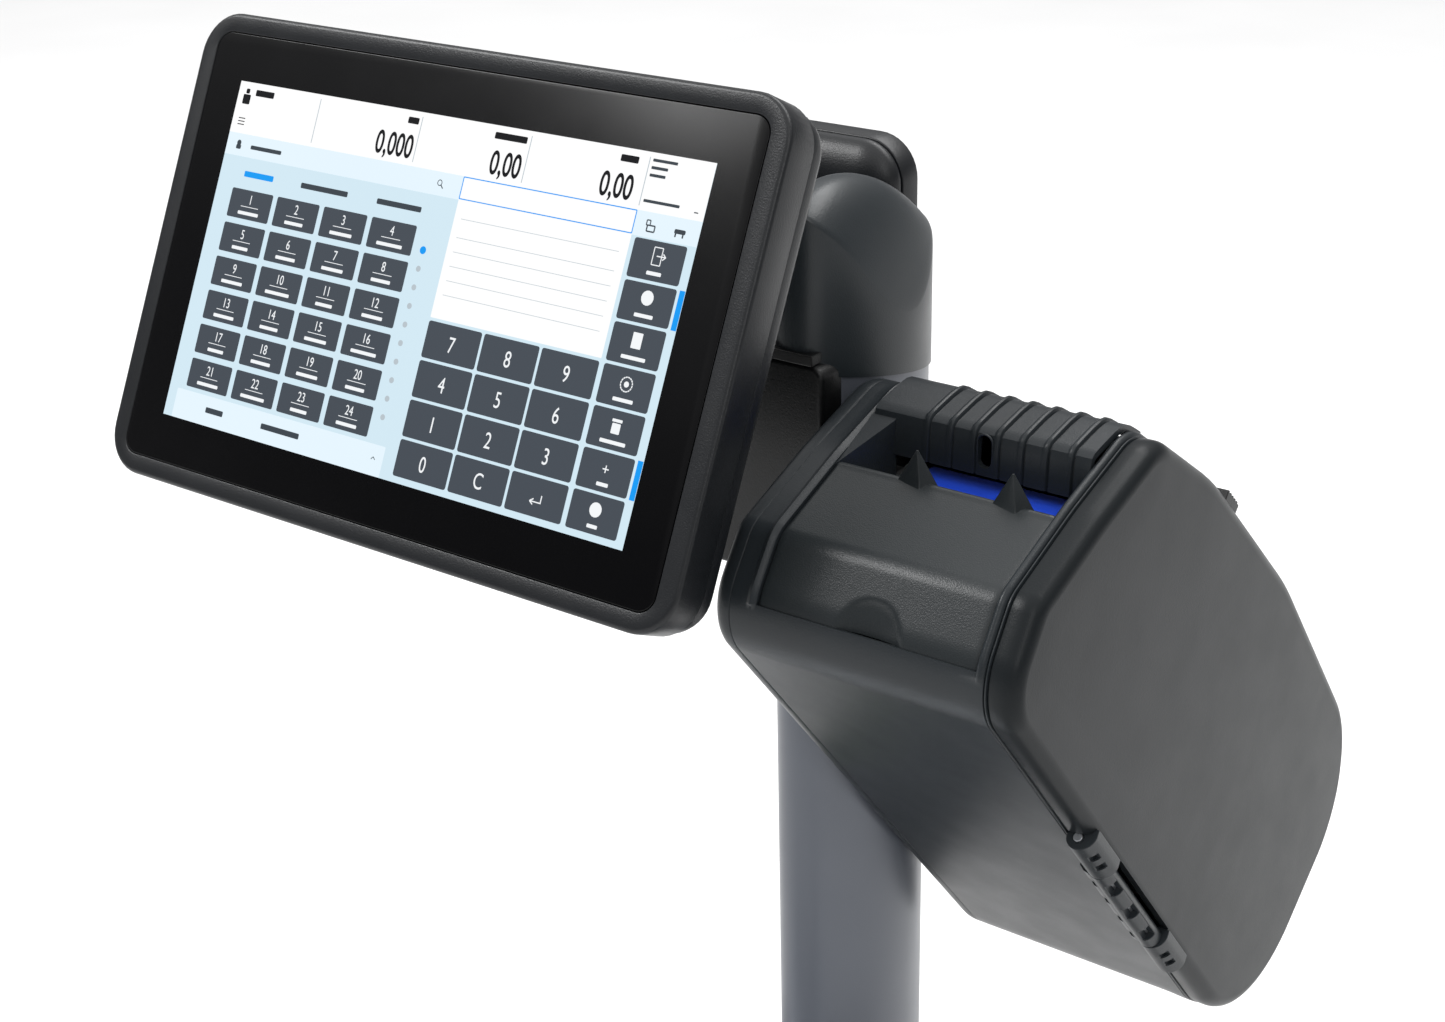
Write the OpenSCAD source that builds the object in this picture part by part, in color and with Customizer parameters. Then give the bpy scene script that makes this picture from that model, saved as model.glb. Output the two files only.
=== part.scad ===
// Counter price scale with a column, two displays and a label printer.
// Millimetres, +Z up, operator at -Y. The origin is the centre of the footprint
// on the counter. Sub-parts are drawn from the column's axis and moved by place().

/* [Base] */
// Width of the weighing base
base_w = 400; // [380:5:420]
// Depth of the weighing base
base_d = 400; // [390:5:410]
// Height of the base body above its feet
base_h = 60; // [56:1:64]
// Width of the load plate
plate_w = 376; // [340:2:376]
// Depth of the load plate
plate_d = 262; // [240:2:262]

/* [Column] */
// Half width of the oval column, side to side
pole_a = 28; // [26:0.5:29]
// Half depth of the oval column, front to back
pole_b = 48.4; // [46:0.2:50]

/* [Displays] */
// Height of the operator screen's centre above the counter
screen_h = 600; // [590:1:610]
// Operator screen's centre, left of the column's axis
screen_left = 120; // [115:1:125]
// Operator screen's centre, in front of the column's axis
screen_ahead = 147.3; // [145:0.1:150]
// Backward lean of the operator screen
screen_lean = 26; // [22:1:28]
// Width of the operator display
display_w = 327; // [320:1:330]
// Height of the operator display
display_h = 214; // [208:1:218]
// Width of the customer display
customer_w = 208; // [190:1:210]
// Height of the customer display
customer_h = 146; // [130:1:150]

/* [Printer] */
// Gap from the column's axis to the printer's left face
printer_left = 30; // [30:0.5:32]
// Width of the printer housing without its door
printer_w = 127; // [125:1:128]
// Depth of the printer door
door_t = 12.7; // [12:0.1:13]
// Wall of the printer's casings
wall = 2.5; // [2:0.1:2.8]

/* [Hidden] */
$fn = 48;

// Colours
dark = "#2b2f32";
black = "#16181a";
grey = "#6d7078";
steel = "#b9bcc0";

// Heights in the base
foot_h = 10;
tray_h = 30;
base_top = foot_h + base_h;
tray_top = foot_h + tray_h;
base_wall = 3;
base_r = 25;
base_back = 60;
base_front = base_back - base_d;
base_mid = (base_front + base_back) / 2;
foot_in = 40;
plate_mid = base_front + 6 + plate_d / 2;
plate_z = base_top + 18;
cell_l = 150;
cell_z = foot_h + base_wall + 8;

// The footprint's centre, measured from the column's axis
reach_left = screen_left + display_w / 2;
reach_right = base_w / 2;
reach_back = 349 - screen_ahead;
pole_x = (reach_left - reach_right) / 2;
pole_y = (-base_front - reach_back) / 2;

// Column: an oval of four arcs, from the flange up into the head
pole_r = 18;
pole_wall = 3;
pole_foot = foot_h + base_wall + 10;
pole_top = screen_h - 20;

// Arm on the column that carries both displays
arm_left = -165;
arm_right = 18;
arm_front = -pole_b - 1.9;
arm_back = arm_front + 25;
arm_low = screen_h - 138;
arm_high = screen_h - 34;

// Display layers, measured back from the glass's front face
glass_t = 3;
frame_t = 18;
rear_t = 30;
hump_t = 58;
hinge_up = -20;
hinge_back = 80;
ear_gap = 15;
ear_t = 8;
pin_r = 4;
run = 0.05;
operator_at = [-screen_left, -screen_ahead, screen_h];
operator_pivot = [-screen_left,
  -screen_ahead + hinge_up * sin(screen_lean) + hinge_back * cos(screen_lean),
  screen_h + hinge_up * cos(screen_lean) - hinge_back * sin(screen_lean)];
customer_at = [-screen_left, 80.7, screen_h - 40];
customer_back = 28;
customer_pivot = [-screen_left, customer_at[1] - 46, customer_at[2] - 20];

// Printer side outline: [distance back, height, corner radius] from the screen's centre
outline = [[17, -70.5, 16], [62, -52.5, 150], [112, -36.5, 25], [168, -74.5, 150],
  [255, -156, 200], [349, -270, 65], [349, -326, 60], [241, -407, 70], [-7.5, -105.5, 28]];
cover_edge = printer_left + 9;
seam = printer_left + printer_w;
door_face = seam + 0.3 + door_t;
window = [printer_left + 21.5, seam - 5];
chassis = [printer_left + 16, printer_left + 18];
platen_at = [62, -86];
motor_at = platen_at + 36 * [sin(59.4), -cos(59.4)];
head_at = [104, -76];
roll_at = [238, -262];
rewind_at = [118, -170];
lid_at = [60, -58];
platen_teeth = 44;
pinion_teeth = 28;

// Door hinge on the slanted lower front edge
slope = 50.5;
hinge_l = 150;
knuckle_l = 33;
knuckle_r = 5.2;
door_pin_r = 2;
hinge_at = [seam + 6, 67.2, -198];

// Round helpers
function unit(v) = v / norm(v);
function turned(v, a) = [v[0] * cos(a) - v[1] * sin(a), v[0] * sin(a) + v[1] * cos(a)];

// Fillet at q on the way from p to s
function fillet(p, q, s, r) =
  let (a = unit(p - q), b = unit(s - q), half = acos(a * b) / 2,
       centre = q + unit(a + b) * r / sin(half), start = q + a * r / tan(half) - centre,
       turn = (180 - 2 * half) * sign(cross(-a, b)), steps = max(2, ceil(abs(turn) / 7)))
  [for (i = [0 : steps]) centre + turned(start, turn * i / steps)];

// Corner i of an outline moved inwards by d
function inner(pts, i, d) =
  let (n = len(pts), q = [pts[i][0], pts[i][1]],
       a = unit([for (k = [0, 1]) pts[(i + n - 1) % n][k] - q[k]]),
       b = unit([for (k = [0, 1]) pts[(i + 1) % n][k] - q[k]]))
  q + unit(a + b) * d / sin(acos(a * b) / 2);

function rounded(pts, d = 0) =
  let (n = len(pts), q = [for (i = [0 : n - 1]) inner(pts, i, d)])
  [for (i = [0 : n - 1]) each fillet(q[(i + n - 1) % n], q[i], q[(i + 1) % n], pts[i][2] - d)];

module place() { translate([pole_x, pole_y, 0]) children(); }

// Oval of four arcs with half axes a and b and end radius r
module oval(a, b, r) {
  side = (a * a + b * b - 2 * b * r) / (2 * (a - r));
  cut = (b - r) * side / (side - r);
  intersection() {
    translate([side - a, 0]) circle(side, $fn = 96);
    translate([a - side, 0]) circle(side, $fn = 96);
    square([4 * a, 2 * cut], center = true);
  }
  for (s = [-1, 1]) translate([0, s * (b - r)]) circle(r);
}

module pole_oval(grow = 0) { oval(pole_a + grow, pole_b + grow, pole_r + grow); }

// Rectangle with round corners, centred
module pad(w, d, r) {
  for (s = [-1, 1]) translate([s * (w / 2 - r), 0]) square([2 * r, d - 2 * r], center = true);
  square([w - 2 * r, d], center = true);
  for (x = [-1, 1], y = [-1, 1]) translate([x * (w / 2 - r), y * (d / 2 - r)]) circle(r);
}

module slab(w, d, r, z0, z1) { translate([0, 0, z0]) linear_extrude(z1 - z0) pad(w, d, r); }

module block(low, high) { translate(low) cube(high - low); }

module on_base(z0, z1) { translate([0, base_mid, z0]) linear_extrude(z1 - z0) children(); }

// A screw pointing down -Z from its head's underside at the origin
module screw(shank_r, shank_l, head_r, head_h) {
  translate([0, 0, -shank_l]) cylinder(r = shank_r, h = shank_l + 0.01);
  difference() {
    cylinder(r = head_r, h = head_h);
    translate([0, 0, head_h / 2]) cylinder(r = head_r / 2, h = head_h, $fn = 6);
  }
}

// ---------------------------------------------------------------- base

foot_spots = [[-1, -1], [1, -1], [-1, 1], [1, 1]];
function foot_at(i) = [foot_spots[i][0] * (base_w / 2 - foot_in),
  base_mid + foot_spots[i][1] * (base_d / 2 - foot_in), 0];
screw_spots = [for (x = [-1, 1], y = [-1, 1]) [x * (base_w / 2 - 14), base_mid + y * (base_d / 2 - 14)]];
post_spots = [for (x = [-1, 1], y = [-1, 1]) [x * 130, plate_mid + y * 90]];
cell_holes = [for (s = [-1, 1], y = [-10, 10]) [s * (cell_l / 2 - 14), plate_mid + y]];
inlet_x = -120;
ports_x = 90;

module base_tray() color(dark) place() difference() {
  union() {
    difference() {
      on_base(foot_h, tray_top) pad(base_w, base_d, base_r);
      on_base(foot_h + base_wall, tray_top + 1)
        pad(base_w - 2 * base_wall, base_d - 2 * base_wall, base_r - base_wall);
    }
    for (i = [0 : 3]) translate(foot_at(i) + [0, 0, foot_h]) cylinder(r = 8, h = 16);
    for (p = screw_spots) translate([p[0], p[1], foot_h]) cylinder(r = 5, h = tray_h);
    block([cell_l / 2 - 30, plate_mid - 20, foot_h], [cell_l / 2, plate_mid + 20, cell_z]);
  }
  for (i = [0 : 3]) translate(foot_at(i)) cylinder(r = 4.05, h = foot_h + 17);
  for (p = screw_spots) translate([p[0], p[1], 0]) {
    cylinder(r = 2, h = 60);
    cylinder(r = 4, h = foot_h + 3.5);
  }
  for (p = cell_holes) if (p[0] > 0) translate([p[0], p[1], 0]) cylinder(r = 3, h = 30);
  for (x = [-42, 42], y = [-42, 42]) translate([x, y, foot_h - 1]) cylinder(r = 3, h = 10);
  port_cuts();
}

// Holes through the back wall for the inlet and the ports
module port_cuts() {
  block([inlet_x - 14, base_back - 20, 20.5], [inlet_x + 14, base_back + 1, tray_top + 1]);
  block([ports_x - 40, base_back - 20, 20.5], [ports_x + 40, base_back + 1, tray_top + 1]);
}

module base_cover() color(dark) place() difference() {
  union() {
    difference() {
      on_base(tray_top + 0.2, base_top - 3) pad(base_w, base_d, base_r);
      on_base(tray_top, base_top - base_wall)
        pad(base_w - 2 * base_wall, base_d - 2 * base_wall, base_r - base_wall);
    }
    on_base(base_top - 3.01, base_top) pad(base_w - 3, base_d - 3, base_r - 1.5);
    for (p = screw_spots) translate([p[0], p[1], tray_top + 0.2]) cylinder(r = 5, h = base_h - tray_h - 1);
  }
  for (p = screw_spots) translate([p[0], p[1], 0]) cylinder(r = 2, h = tray_top + 14);
  for (p = post_spots) translate([p[0], p[1], tray_top]) cylinder(r = 12, h = base_h);
  translate([0, 0, tray_top]) linear_extrude(base_h) pole_oval(0.3);
  translate([-130, 5, base_top - 2]) cylinder(r = 11.2, h = 5);
  block([inlet_x - 14, base_back - 20, 30], [inlet_x + 14, base_back + 1, 41.5]);
}

module load_cell() color("silver") place() difference() {
  block([-cell_l / 2, plate_mid - 20, cell_z], [cell_l / 2, plate_mid + 20, cell_z + 26]);
  for (s = [-1, 1]) translate([s * 13, plate_mid - 21, cell_z + 13])
    rotate([-90, 0, 0]) cylinder(r = 10, h = 42);
  block([-13, plate_mid - 21, cell_z + 9], [13, plate_mid + 21, cell_z + 17]);
  for (p = cell_holes) translate([p[0], p[1], cell_z - 1]) cylinder(r = 3, h = 28);
}

module cell_screws() color(steel) place() for (p = cell_holes)
  if (p[0] < 0) translate([p[0], p[1], cell_z + 33]) screw(3, 24, 5, 4);
  else translate([p[0], p[1], foot_h]) rotate([180, 0, 0]) screw(3, 26, 5, 3);

// Cross-shaped carrier with four posts, above the free end of the load cell
module spider() color(steel) place() difference() {
  union() {
    block([-cell_l / 2, plate_mid - 20, cell_z + 26], [-cell_l / 2 + 30, plate_mid + 20, cell_z + 29]);
    block([-136, plate_mid - 16, cell_z + 29], [136, plate_mid + 16, cell_z + 33]);
    for (s = [-1, 1])
      block([s * 130 - 12, plate_mid - 96, cell_z + 29], [s * 130 + 12, plate_mid + 96, cell_z + 33]);
    for (p = post_spots) translate([p[0], p[1], cell_z + 29]) cylinder(r = 6, h = base_top + 8 - cell_z - 29);
  }
  for (p = cell_holes) if (p[0] < 0) translate([p[0], p[1], cell_z + 20]) cylinder(r = 3, h = 20);
}

module rubber_pads() color(black) place() for (p = post_spots)
  translate([p[0], p[1], base_top + 8]) cylinder(r = 9, h = plate_z - base_top - 8);

module load_plate() color(steel) place() difference() {
  translate([0, plate_mid, plate_z - 12]) linear_extrude(14) pad(plate_w, plate_d, 16);
  translate([0, plate_mid, plate_z - 13]) linear_extrude(13) pad(plate_w - 3, plate_d - 3, 14.5);
}

module column_flange() color(steel) place() difference() {
  translate([0, 0, foot_h + base_wall]) linear_extrude(10) pad(100, 104, 10);
  for (x = [-1, 1], y = [-1, 1]) translate([x * 42, y * 42, foot_h]) cylinder(r = 3, h = 20);
}

module flange_screws() color(steel) place() for (x = [-1, 1], y = [-1, 1])
  translate([x * 42, y * 42, pole_foot]) screw(3, 11, 5.5, 5);

module column_collar() color(dark) place() difference() {
  union() {
    translate([0, 0, base_top]) linear_extrude(8) pole_oval(9);
    translate([0, 0, base_top + 7.99]) linear_extrude(4) pole_oval(6);
  }
  translate([0, 0, base_top - 1]) linear_extrude(20) pole_oval(0.1);
}

module level_vial() color("lightgreen") place() translate([-130, 5, base_top - 2]) {
  difference() {
    cylinder(r = 11, h = 3.5);
    translate([0, 0, 2]) cylinder(r = 8, h = 3);
  }
  translate([0, 0, 2]) cylinder(r = 7.9, h = 1);
}

module power_inlet() color(black) place() difference() {
  union() {
    block([inlet_x - 13.8, base_back - 18, 20.7], [inlet_x + 13.8, base_back, 40]);
    block([inlet_x - 13.8, base_back - 1, 20.7], [inlet_x + 13.8, base_back + 0.5, 41.3]);
  }
  block([inlet_x - 11.5, base_back - 15, 23.5], [inlet_x + 11.5, base_back + 1, 37.5]);
}

port_list = [[-26, 13, 12], [-4, 13, 12], [16, 14, 7], [33, 10, 7]];
module port_panel() color(steel) place() difference() {
  block([ports_x - 39.8, base_back - 14, 20.7], [ports_x + 39.8, base_back - 0.3, tray_top]);
  for (p = port_list)
    block([ports_x + p[0] - p[1] / 2, base_back - 12, 24], [ports_x + p[0] + p[1] / 2, base_back + 1, 24 + p[2]]);
}

module main_board() color("darkgreen") place() {
  block([-110, -38, 20], [-60, 40, 21.6]);
  block([-100, -30, 21.6], [-75, -5, 30]);
  block([-98, 8, 21.6], [-86, 30, 34]);
  for (x = [-104, -66], y = [-32, 34]) translate([x, y, foot_h + base_wall]) cylinder(r = 3, h = 7);
}

module base_screws() color(steel) place() for (p = screw_spots)
  translate([p[0], p[1], foot_h + 3.5]) rotate([180, 0, 0]) screw(2, 36, 3.8, 3);

module foot(i) color(black) place() translate(foot_at(i)) {
  cylinder(r = 15, h = 6);
  translate([0, 0, 5.99]) cylinder(r = 8, h = 2.5);
  cylinder(r = 4, h = foot_h + 12);
}
module foot_front_left() { foot(0); }
module foot_front_right() { foot(1); }
module foot_back_left() { foot(2); }
module foot_back_right() { foot(3); }

// -------------------------------------------------------------- column

column_screw_z = [arm_low + 18, (arm_low + arm_high) / 2, arm_high - 18];
mount_screw_z = [400, 480];

module column() color(grey) place() difference() {
  translate([0, 0, pole_foot]) linear_extrude(pole_top - pole_foot) difference() {
    pole_oval();
    pole_oval(-pole_wall);
  }
  for (z = column_screw_z) translate([-40, 0, z]) rotate([0, 90, 0]) cylinder(r = 3, h = 30);
  for (z = mount_screw_z, y = [-14, 14]) translate([10, y, z]) rotate([0, 90, 0]) cylinder(r = 3, h = 30);
}

// Head: oval cap with an arched top and a slanted lower edge
module head_solid(grow, lift) {
  front = -pole_b - 1;
  back = pole_b + 1;
  ridge = [for (i = [0 : 12]) let (y = front + i * (back - front) / 12)
    [y, screen_h + 38 + grow - 0.0022 * pow(y + 40, 2)]];
  side = [for (i = [-12 : 12]) [i * 30 / 12, screen_h + 40 + grow - 52 * pow(abs(i / 12), 2.4)]];
  intersection() {
    translate([0, 0, screen_h - 70]) linear_extrude(130) pole_oval(grow);
    rotate([90, 0, 90]) translate([0, 0, -40]) linear_extrude(80)
      polygon(concat(ridge, [[back, screen_h - 53 + lift], [front, screen_h - 37 + lift]]));
    rotate([90, 0, 0]) translate([0, 0, -60]) linear_extrude(120)
      polygon(concat(side, [[30, screen_h - 70], [-30, screen_h - 70]]));
  }
}

module head_cover() color(dark) place() difference() {
  head_solid(1, 0);
  difference() {
    head_solid(-2, -30);
    translate([0, 0, pole_top]) linear_extrude(4) difference() { pole_oval(0); pole_oval(-12); }
  }
  translate([0, 0, screen_h - 90]) linear_extrude(pole_top - screen_h + 90) pole_oval(0.1);
}

module display_arm() color(black) place() difference() {
  union() {
    translate([(arm_left + arm_right) / 2, arm_back, (arm_low + arm_high) / 2]) rotate([90, 0, 0])
      linear_extrude(arm_back - arm_front) pad(arm_right - arm_left, arm_high - arm_low, 6);
    block([-58, arm_back - 1, arm_low + 4], [-15, 22, arm_high - 18]);
  }
  translate([0, 0, arm_low - 1]) linear_extrude(arm_high - arm_low + 2) pole_oval(0.05);
  translate([0, 0, arm_high - 8]) linear_extrude(9) pole_oval(1.4);
  for (z = column_screw_z) translate([-60, 0, z]) rotate([0, 90, 0]) cylinder(r = 3, h = 50);
}

module column_screws() color(steel) place() {
  for (z = column_screw_z) translate([-58, 0, z]) rotate([0, -90, 0]) screw(3, 36, 5, 5);
  for (z = mount_screw_z, y = [-14, 14])
    translate([printer_left + wall, y, z]) rotate([0, 90, 0]) screw(3, 12, 5, 5);
}

// A tongue with a cross bore at pivot, on a plate at face; dir is the way it points
module tongue(pivot, face, dir) difference() {
  union() {
    block([pivot[0] - 30, min(face, face + dir * 5), arm_low + 14],
      [pivot[0] + 30, max(face, face + dir * 5), arm_high - 4]);
    block([pivot[0] - ear_gap + 0.4, min(face, pivot[1]), pivot[2] - 10],
      [pivot[0] + ear_gap - 0.4, max(face, pivot[1]), pivot[2] + 10]);
    translate(pivot - [ear_gap - 0.4, 0, 0]) rotate([0, 90, 0]) cylinder(r = 10, h = 2 * ear_gap - 0.8);
  }
  translate(pivot - [40, 0, 0]) rotate([0, 90, 0]) cylinder(r = pin_r, h = 80);
}

module pivot_pin(pivot) translate(pivot - [ear_gap + ear_t + 2, 0, 0]) rotate([0, 90, 0]) {
  cylinder(r = pin_r, h = 2 * (ear_gap + ear_t) + 4);
  for (z = [-2, 2 * (ear_gap + ear_t) + 2.5]) translate([0, 0, z]) cylinder(r = 6, h = 3.5);
}

module operator_clevis() color(grey) place() tongue(operator_pivot, arm_front, -1);
module operator_pin() color(steel) place() pivot_pin(operator_pivot);
module customer_clevis() color(grey) place() tongue(customer_pivot, arm_back, 1);
module customer_pin() color(steel) place() pivot_pin(customer_pivot);

// ---------------------------------------------------- operator display

// Local axes of a display: x along its width, y up its face, z out of the glass
module at_operator() { place() translate(operator_at) rotate([90 - screen_lean, 0, 0]) children(); }
module at_customer() { place() translate(customer_at) rotate([90, 0, 180]) children(); }

// Frame around a glass, open at the back
module bezel(w, h, r, t) difference() {
  union() {
    slab(w, h, r, -t, -4);
    slab(w - 2, h - 2, r - 1, -4.01, 0);
  }
  slab(w - 20 + 0.4, h - 18 + 0.4, 8.2, -glass_t - 0.2, 1);
  slab(w - 28, h - 26, 6, -t - 1, -glass_t - 0.1);
}

// Two ears with a cross bore, on a plate at the back of a display
knuckle_holes = [for (x = [-1, 1], y = [-1, 1]) [x * 26, y * 20]];
module ears(pivot_y, pivot_z, back) difference() {
  union() {
    translate([-30, pivot_y - 25, -back - 4]) cube([60, 50, 4]);
    for (s = [-1, 1]) {
      translate([s * (ear_gap + ear_t / 2) - ear_t / 2, pivot_y - 9, -pivot_z])
        cube([ear_t, 18, pivot_z - back - 1]);
      translate([s * (ear_gap + ear_t / 2) - ear_t / 2, pivot_y, -pivot_z])
        rotate([0, 90, 0]) cylinder(r = 9, h = ear_t);
    }
  }
  translate([-40, pivot_y, -pivot_z]) rotate([0, 90, 0]) cylinder(r = pin_r + run, h = 80);
  for (p = knuckle_holes) translate([p[0], pivot_y + p[1], -back - 5]) cylinder(r = 2, h = 6);
}

module operator_glass() color("#0c0d0f") at_operator() slab(display_w - 20, display_h - 18, 8, -glass_t, 0);
module operator_panel() color("#8fa4b0") at_operator() slab(280, 168, 2, -11.5, -glass_t - 0.3);
module operator_frame() color(dark) at_operator() bezel(display_w, display_h, 20, frame_t);

module operator_rear() color(dark) at_operator() difference() {
  union() {
    slab(display_w - 5, display_h - 5, 18, -26, -frame_t - 0.2);
    slab(display_w - 14, display_h - 14, 14, -rear_t, -25.99);
    translate([0, hinge_up, 0]) slab(210, 130, 14, -hump_t + 6, -rear_t + 0.1);
    translate([0, hinge_up, 0]) slab(196, 116, 10, -hump_t, -hump_t + 6.1);
  }
  slab(display_w - 20, display_h - 20, 11, -27, -frame_t + 1);
  translate([0, hinge_up, 0]) {
    slab(204, 124, 11, -hump_t + 7, -26);
    slab(190, 110, 8, -hump_t + 3, -hump_t + 8);
  }
  button_frame() cylinder(r = 5.3, h = 10, center = true);
  for (p = knuckle_holes) translate([p[0], hinge_up + p[1], -hump_t - 1]) cylinder(r = 2, h = 6);
}

// Where the power button leaves the lower side of the rear cover; z points inwards
module button_frame() { translate([60, hinge_up - 65, -44]) rotate([-90, 0, 0]) children(); }

module operator_board() color("darkgreen") at_operator() translate([0, hinge_up, 0]) {
  translate([-85, -48, -34]) cube([170, 96, 1.6]);
  translate([-30, -20, -44]) cube([50, 40, 10]);
  for (x = [-70, 50]) translate([x, -40, -41]) cube([18, 12, 7]);
}

module operator_knuckle() color(grey) at_operator() ears(hinge_up, hinge_back, hump_t);

module operator_screws() color(steel) at_operator() for (p = knuckle_holes)
  translate([p[0], hinge_up + p[1], -hump_t - 4]) rotate([180, 0, 0]) screw(2, 6.5, 3.6, 2.2);

module power_button() color(grey) at_operator() button_frame() {
  translate([0, 0, -2]) cylinder(r = 5, h = 7);
  translate([0, 0, 3.5]) cylinder(r = 6.5, h = 2);
}

// ---------------------------------------------------- customer display

module customer_glass() color("#0c0d0f") at_customer() slab(customer_w - 20, customer_h - 18, 8, -glass_t, 0);
module customer_panel() color("#8fa4b0") at_customer() slab(172, 108, 2, -10, -glass_t - 0.3);
module customer_frame() color(dark) at_customer() bezel(customer_w, customer_h, 20, 14);
module customer_rear() color(dark) at_customer() difference() {
  union() {
    slab(customer_w - 3, customer_h - 3, 19, -24, -14.2);
    slab(customer_w - 10, customer_h - 10, 16, -customer_back, -23.99);
  }
  slab(customer_w - 18, customer_h - 18, 11, -18, -13);
  difference() {
    slab(customer_w - 40, customer_h - 40, 12, -40, -20.5);
    translate([0, -20, 0]) slab(90, 64, 10, -customer_back, -20);
  }
}
module customer_knuckle() color(grey) at_customer() ears(-20, 46, customer_back);

// ------------------------------------------------------------- printer

// Extrudes a side outline (y back, z up from the screen's centre) from x0 to x1
module along_x(x0, x1) {
  translate([x0, -screen_ahead, screen_h]) rotate([90, 0, 90]) linear_extrude(x1 - x0) children();
}
module body_shape(d = 0) { polygon(rounded(outline, d)); }
module disc(at, r) { translate(at) circle(r); }
module strip(low, high) { translate(low) square(high - low); }

module printer_mount() color(grey) place() difference() {
  block([18, -34, 375], [printer_left, 34, 505]);
  translate([0, 0, 370]) linear_extrude(140) pole_oval(0.05);
  for (z = mount_screw_z, y = [-14, 14]) translate([10, y, z]) rotate([0, 90, 0]) cylinder(r = 3, h = 30);
}

post_at = [[40, -110], [150, -120], [300, -230], [120, -235], [240, -350]];
module left_cover() color(dark) place() difference() {
  union() {
    difference() {
      along_x(printer_left, cover_edge) body_shape();
      along_x(printer_left + wall, cover_edge + 1) body_shape(wall);
    }
    along_x(printer_left + 1, chassis[0]) for (p = post_at) disc(p, 4);
  }
  for (z = mount_screw_z, y = [-14, 14]) translate([10, y, z]) rotate([0, 90, 0]) cylinder(r = 3, h = 30);
}

module window_shape() { strip([-20, -96.2], [128, 0]); }

module printer_housing() color(dark) place() {
  difference() {
    union() {
      along_x(cover_edge + 0.2, seam) difference() {
        body_shape();
        body_shape(wall);
      }
      hinge_frame() {
        block([-9, -2, knuckle_l + 0.4], [0, 4, hinge_l - knuckle_l - 0.4]);
        translate([0, 0, knuckle_l + 0.4]) cylinder(r = knuckle_r, h = hinge_l - 2 * knuckle_l - 0.8);
      }
    }
    along_x(window[0], window[1]) window_shape();
    hinge_frame() translate([0, 0, -1]) cylinder(r = door_pin_r, h = hinge_l + 2);
    hinge_frame() for (z = [-0.4, hinge_l - knuckle_l - 0.4])
      translate([0, 0, z]) cylinder(r = knuckle_r + 0.5, h = knuckle_l + 0.8);
  }
  for (x = [[chassis[1] + 0.5, window[0] - 0.5], [window[1] + 0.3, seam - 2.5]])
    along_x(x[0], x[1]) difference() {
      intersection() {
        body_shape(1);
        strip([48, -100], [71, -40]);
      }
      disc(lid_at, 1.6 + run);
      disc(platen_at, 3 + run);
    }
}

module chassis_plate() color(steel) place() along_x(chassis[0], chassis[1]) difference() {
  body_shape(wall + 0.1);
  disc(platen_at, 3 + run);
  disc(motor_at, 11);
  disc(head_at, 3);
  disc(roll_at, 6);
  disc(rewind_at, 4 + run);
}

// Ribbed bar behind the label outlet
bar_top = [[84, -58], [85.5, -42], [88, -39.3], [93, -38], [110, -34.6], [118, -37], [127.5, -43]];
function bar_under(d) = [[127.5 - d / 2, -43 - d], [117.5, -37 - d], [110, -34.6 - d], [93 + d / 2, -38 - d],
  [88 + d, -41 - d / 2], [84.3 + d, -58]];
rib_pitch = 10.9;
module rib_panel() color(dark) place() difference() {
  union() {
    along_x(window[0] + 0.3, window[1] - 0.3) polygon(concat(bar_top, bar_under(3)));
    for (i = [0 : 6]) let (x = printer_left + 47 + i * rib_pitch)
      along_x(x - 1, x + 1) polygon(concat([for (p = bar_top) p + [-0.9, 0.9]], bar_under(1)));
  }
  translate([printer_left + 74.7, -screen_ahead + 80, screen_h - 47.5]) rotate([-90, 0, 0]) {
    for (s = [-1, 1]) translate([0, s * 3.5, 0]) cylinder(r = 3.6, h = 12);
    translate([-3.6, -3.5, 0]) cube([7.2, 7, 12]);
  }
}

module outlet_lid() color(dark) place() {
  difference() {
    along_x(window[0] + 0.5, window[1] - 0.5) intersection() {
      difference() {
        body_shape(0.8);
        body_shape(3.3);
      }
      strip([-10, -95.7], [57.5, 0]);
    }
    translate([printer_left + 72, -screen_ahead + 4.5, screen_h - 97]) rotate([0, 30, 90])
      cylinder(r = 13, h = 3, center = true);
  }
  for (x = [window[0] + 0.5, window[1] - 3.5]) along_x(x, x + 3) {
    disc(lid_at, 4);
    intersection() {
      body_shape(3);
      strip([50, -60], [60, -50]);
    }
  }
  for (x = [window[0] - 2.5, window[1] - 1]) along_x(x, x + 4) disc(lid_at, 1.6);
  for (x = [87.5, 130.7] + printer_left * [1, 1] - [35.5, 35.5]) fin(x);
}

// Three-cornered guide fin on the lid's upper edge
module fin(x) translate([x, -screen_ahead, screen_h]) hull() {
  translate([0, 54, -56.5]) cube([15.5, 1, 1]);
  translate([6, 60, -55]) cube([9, 1, 1]);
  translate([7.2, 57.5, -43]) cube([0.8, 0.8, 0.8]);
}

// A gear of module 1 with straight-sided teeth; a tooth points along angle
module gear_shape(teeth, angle) {
  r = teeth / 2;
  polygon([for (i = [0 : teeth - 1], p = [[-0.27, r - 1.2], [-0.11, r + 0.85], [0.11, r + 0.85], [0.27, r - 1.2]])
    let (a = angle + (i + p[0]) * 360 / teeth) p[1] * [cos(a), sin(a)]]);
}

mesh_angle = atan2(motor_at[1] - platen_at[1], motor_at[0] - platen_at[0]);
gear_x = [printer_left + 7, printer_left + 11];

module platen_roller() color(black) place() {
  along_x(printer_left + 25, seam - 10) disc(platen_at, 8);
  along_x(printer_left + 5, seam - 2.5) disc(platen_at, 3);
}

module platen_gear() color("white") place() along_x(gear_x[0], gear_x[1]) translate(platen_at) difference() {
  gear_shape(platen_teeth, mesh_angle);
  circle(3);
}

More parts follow.
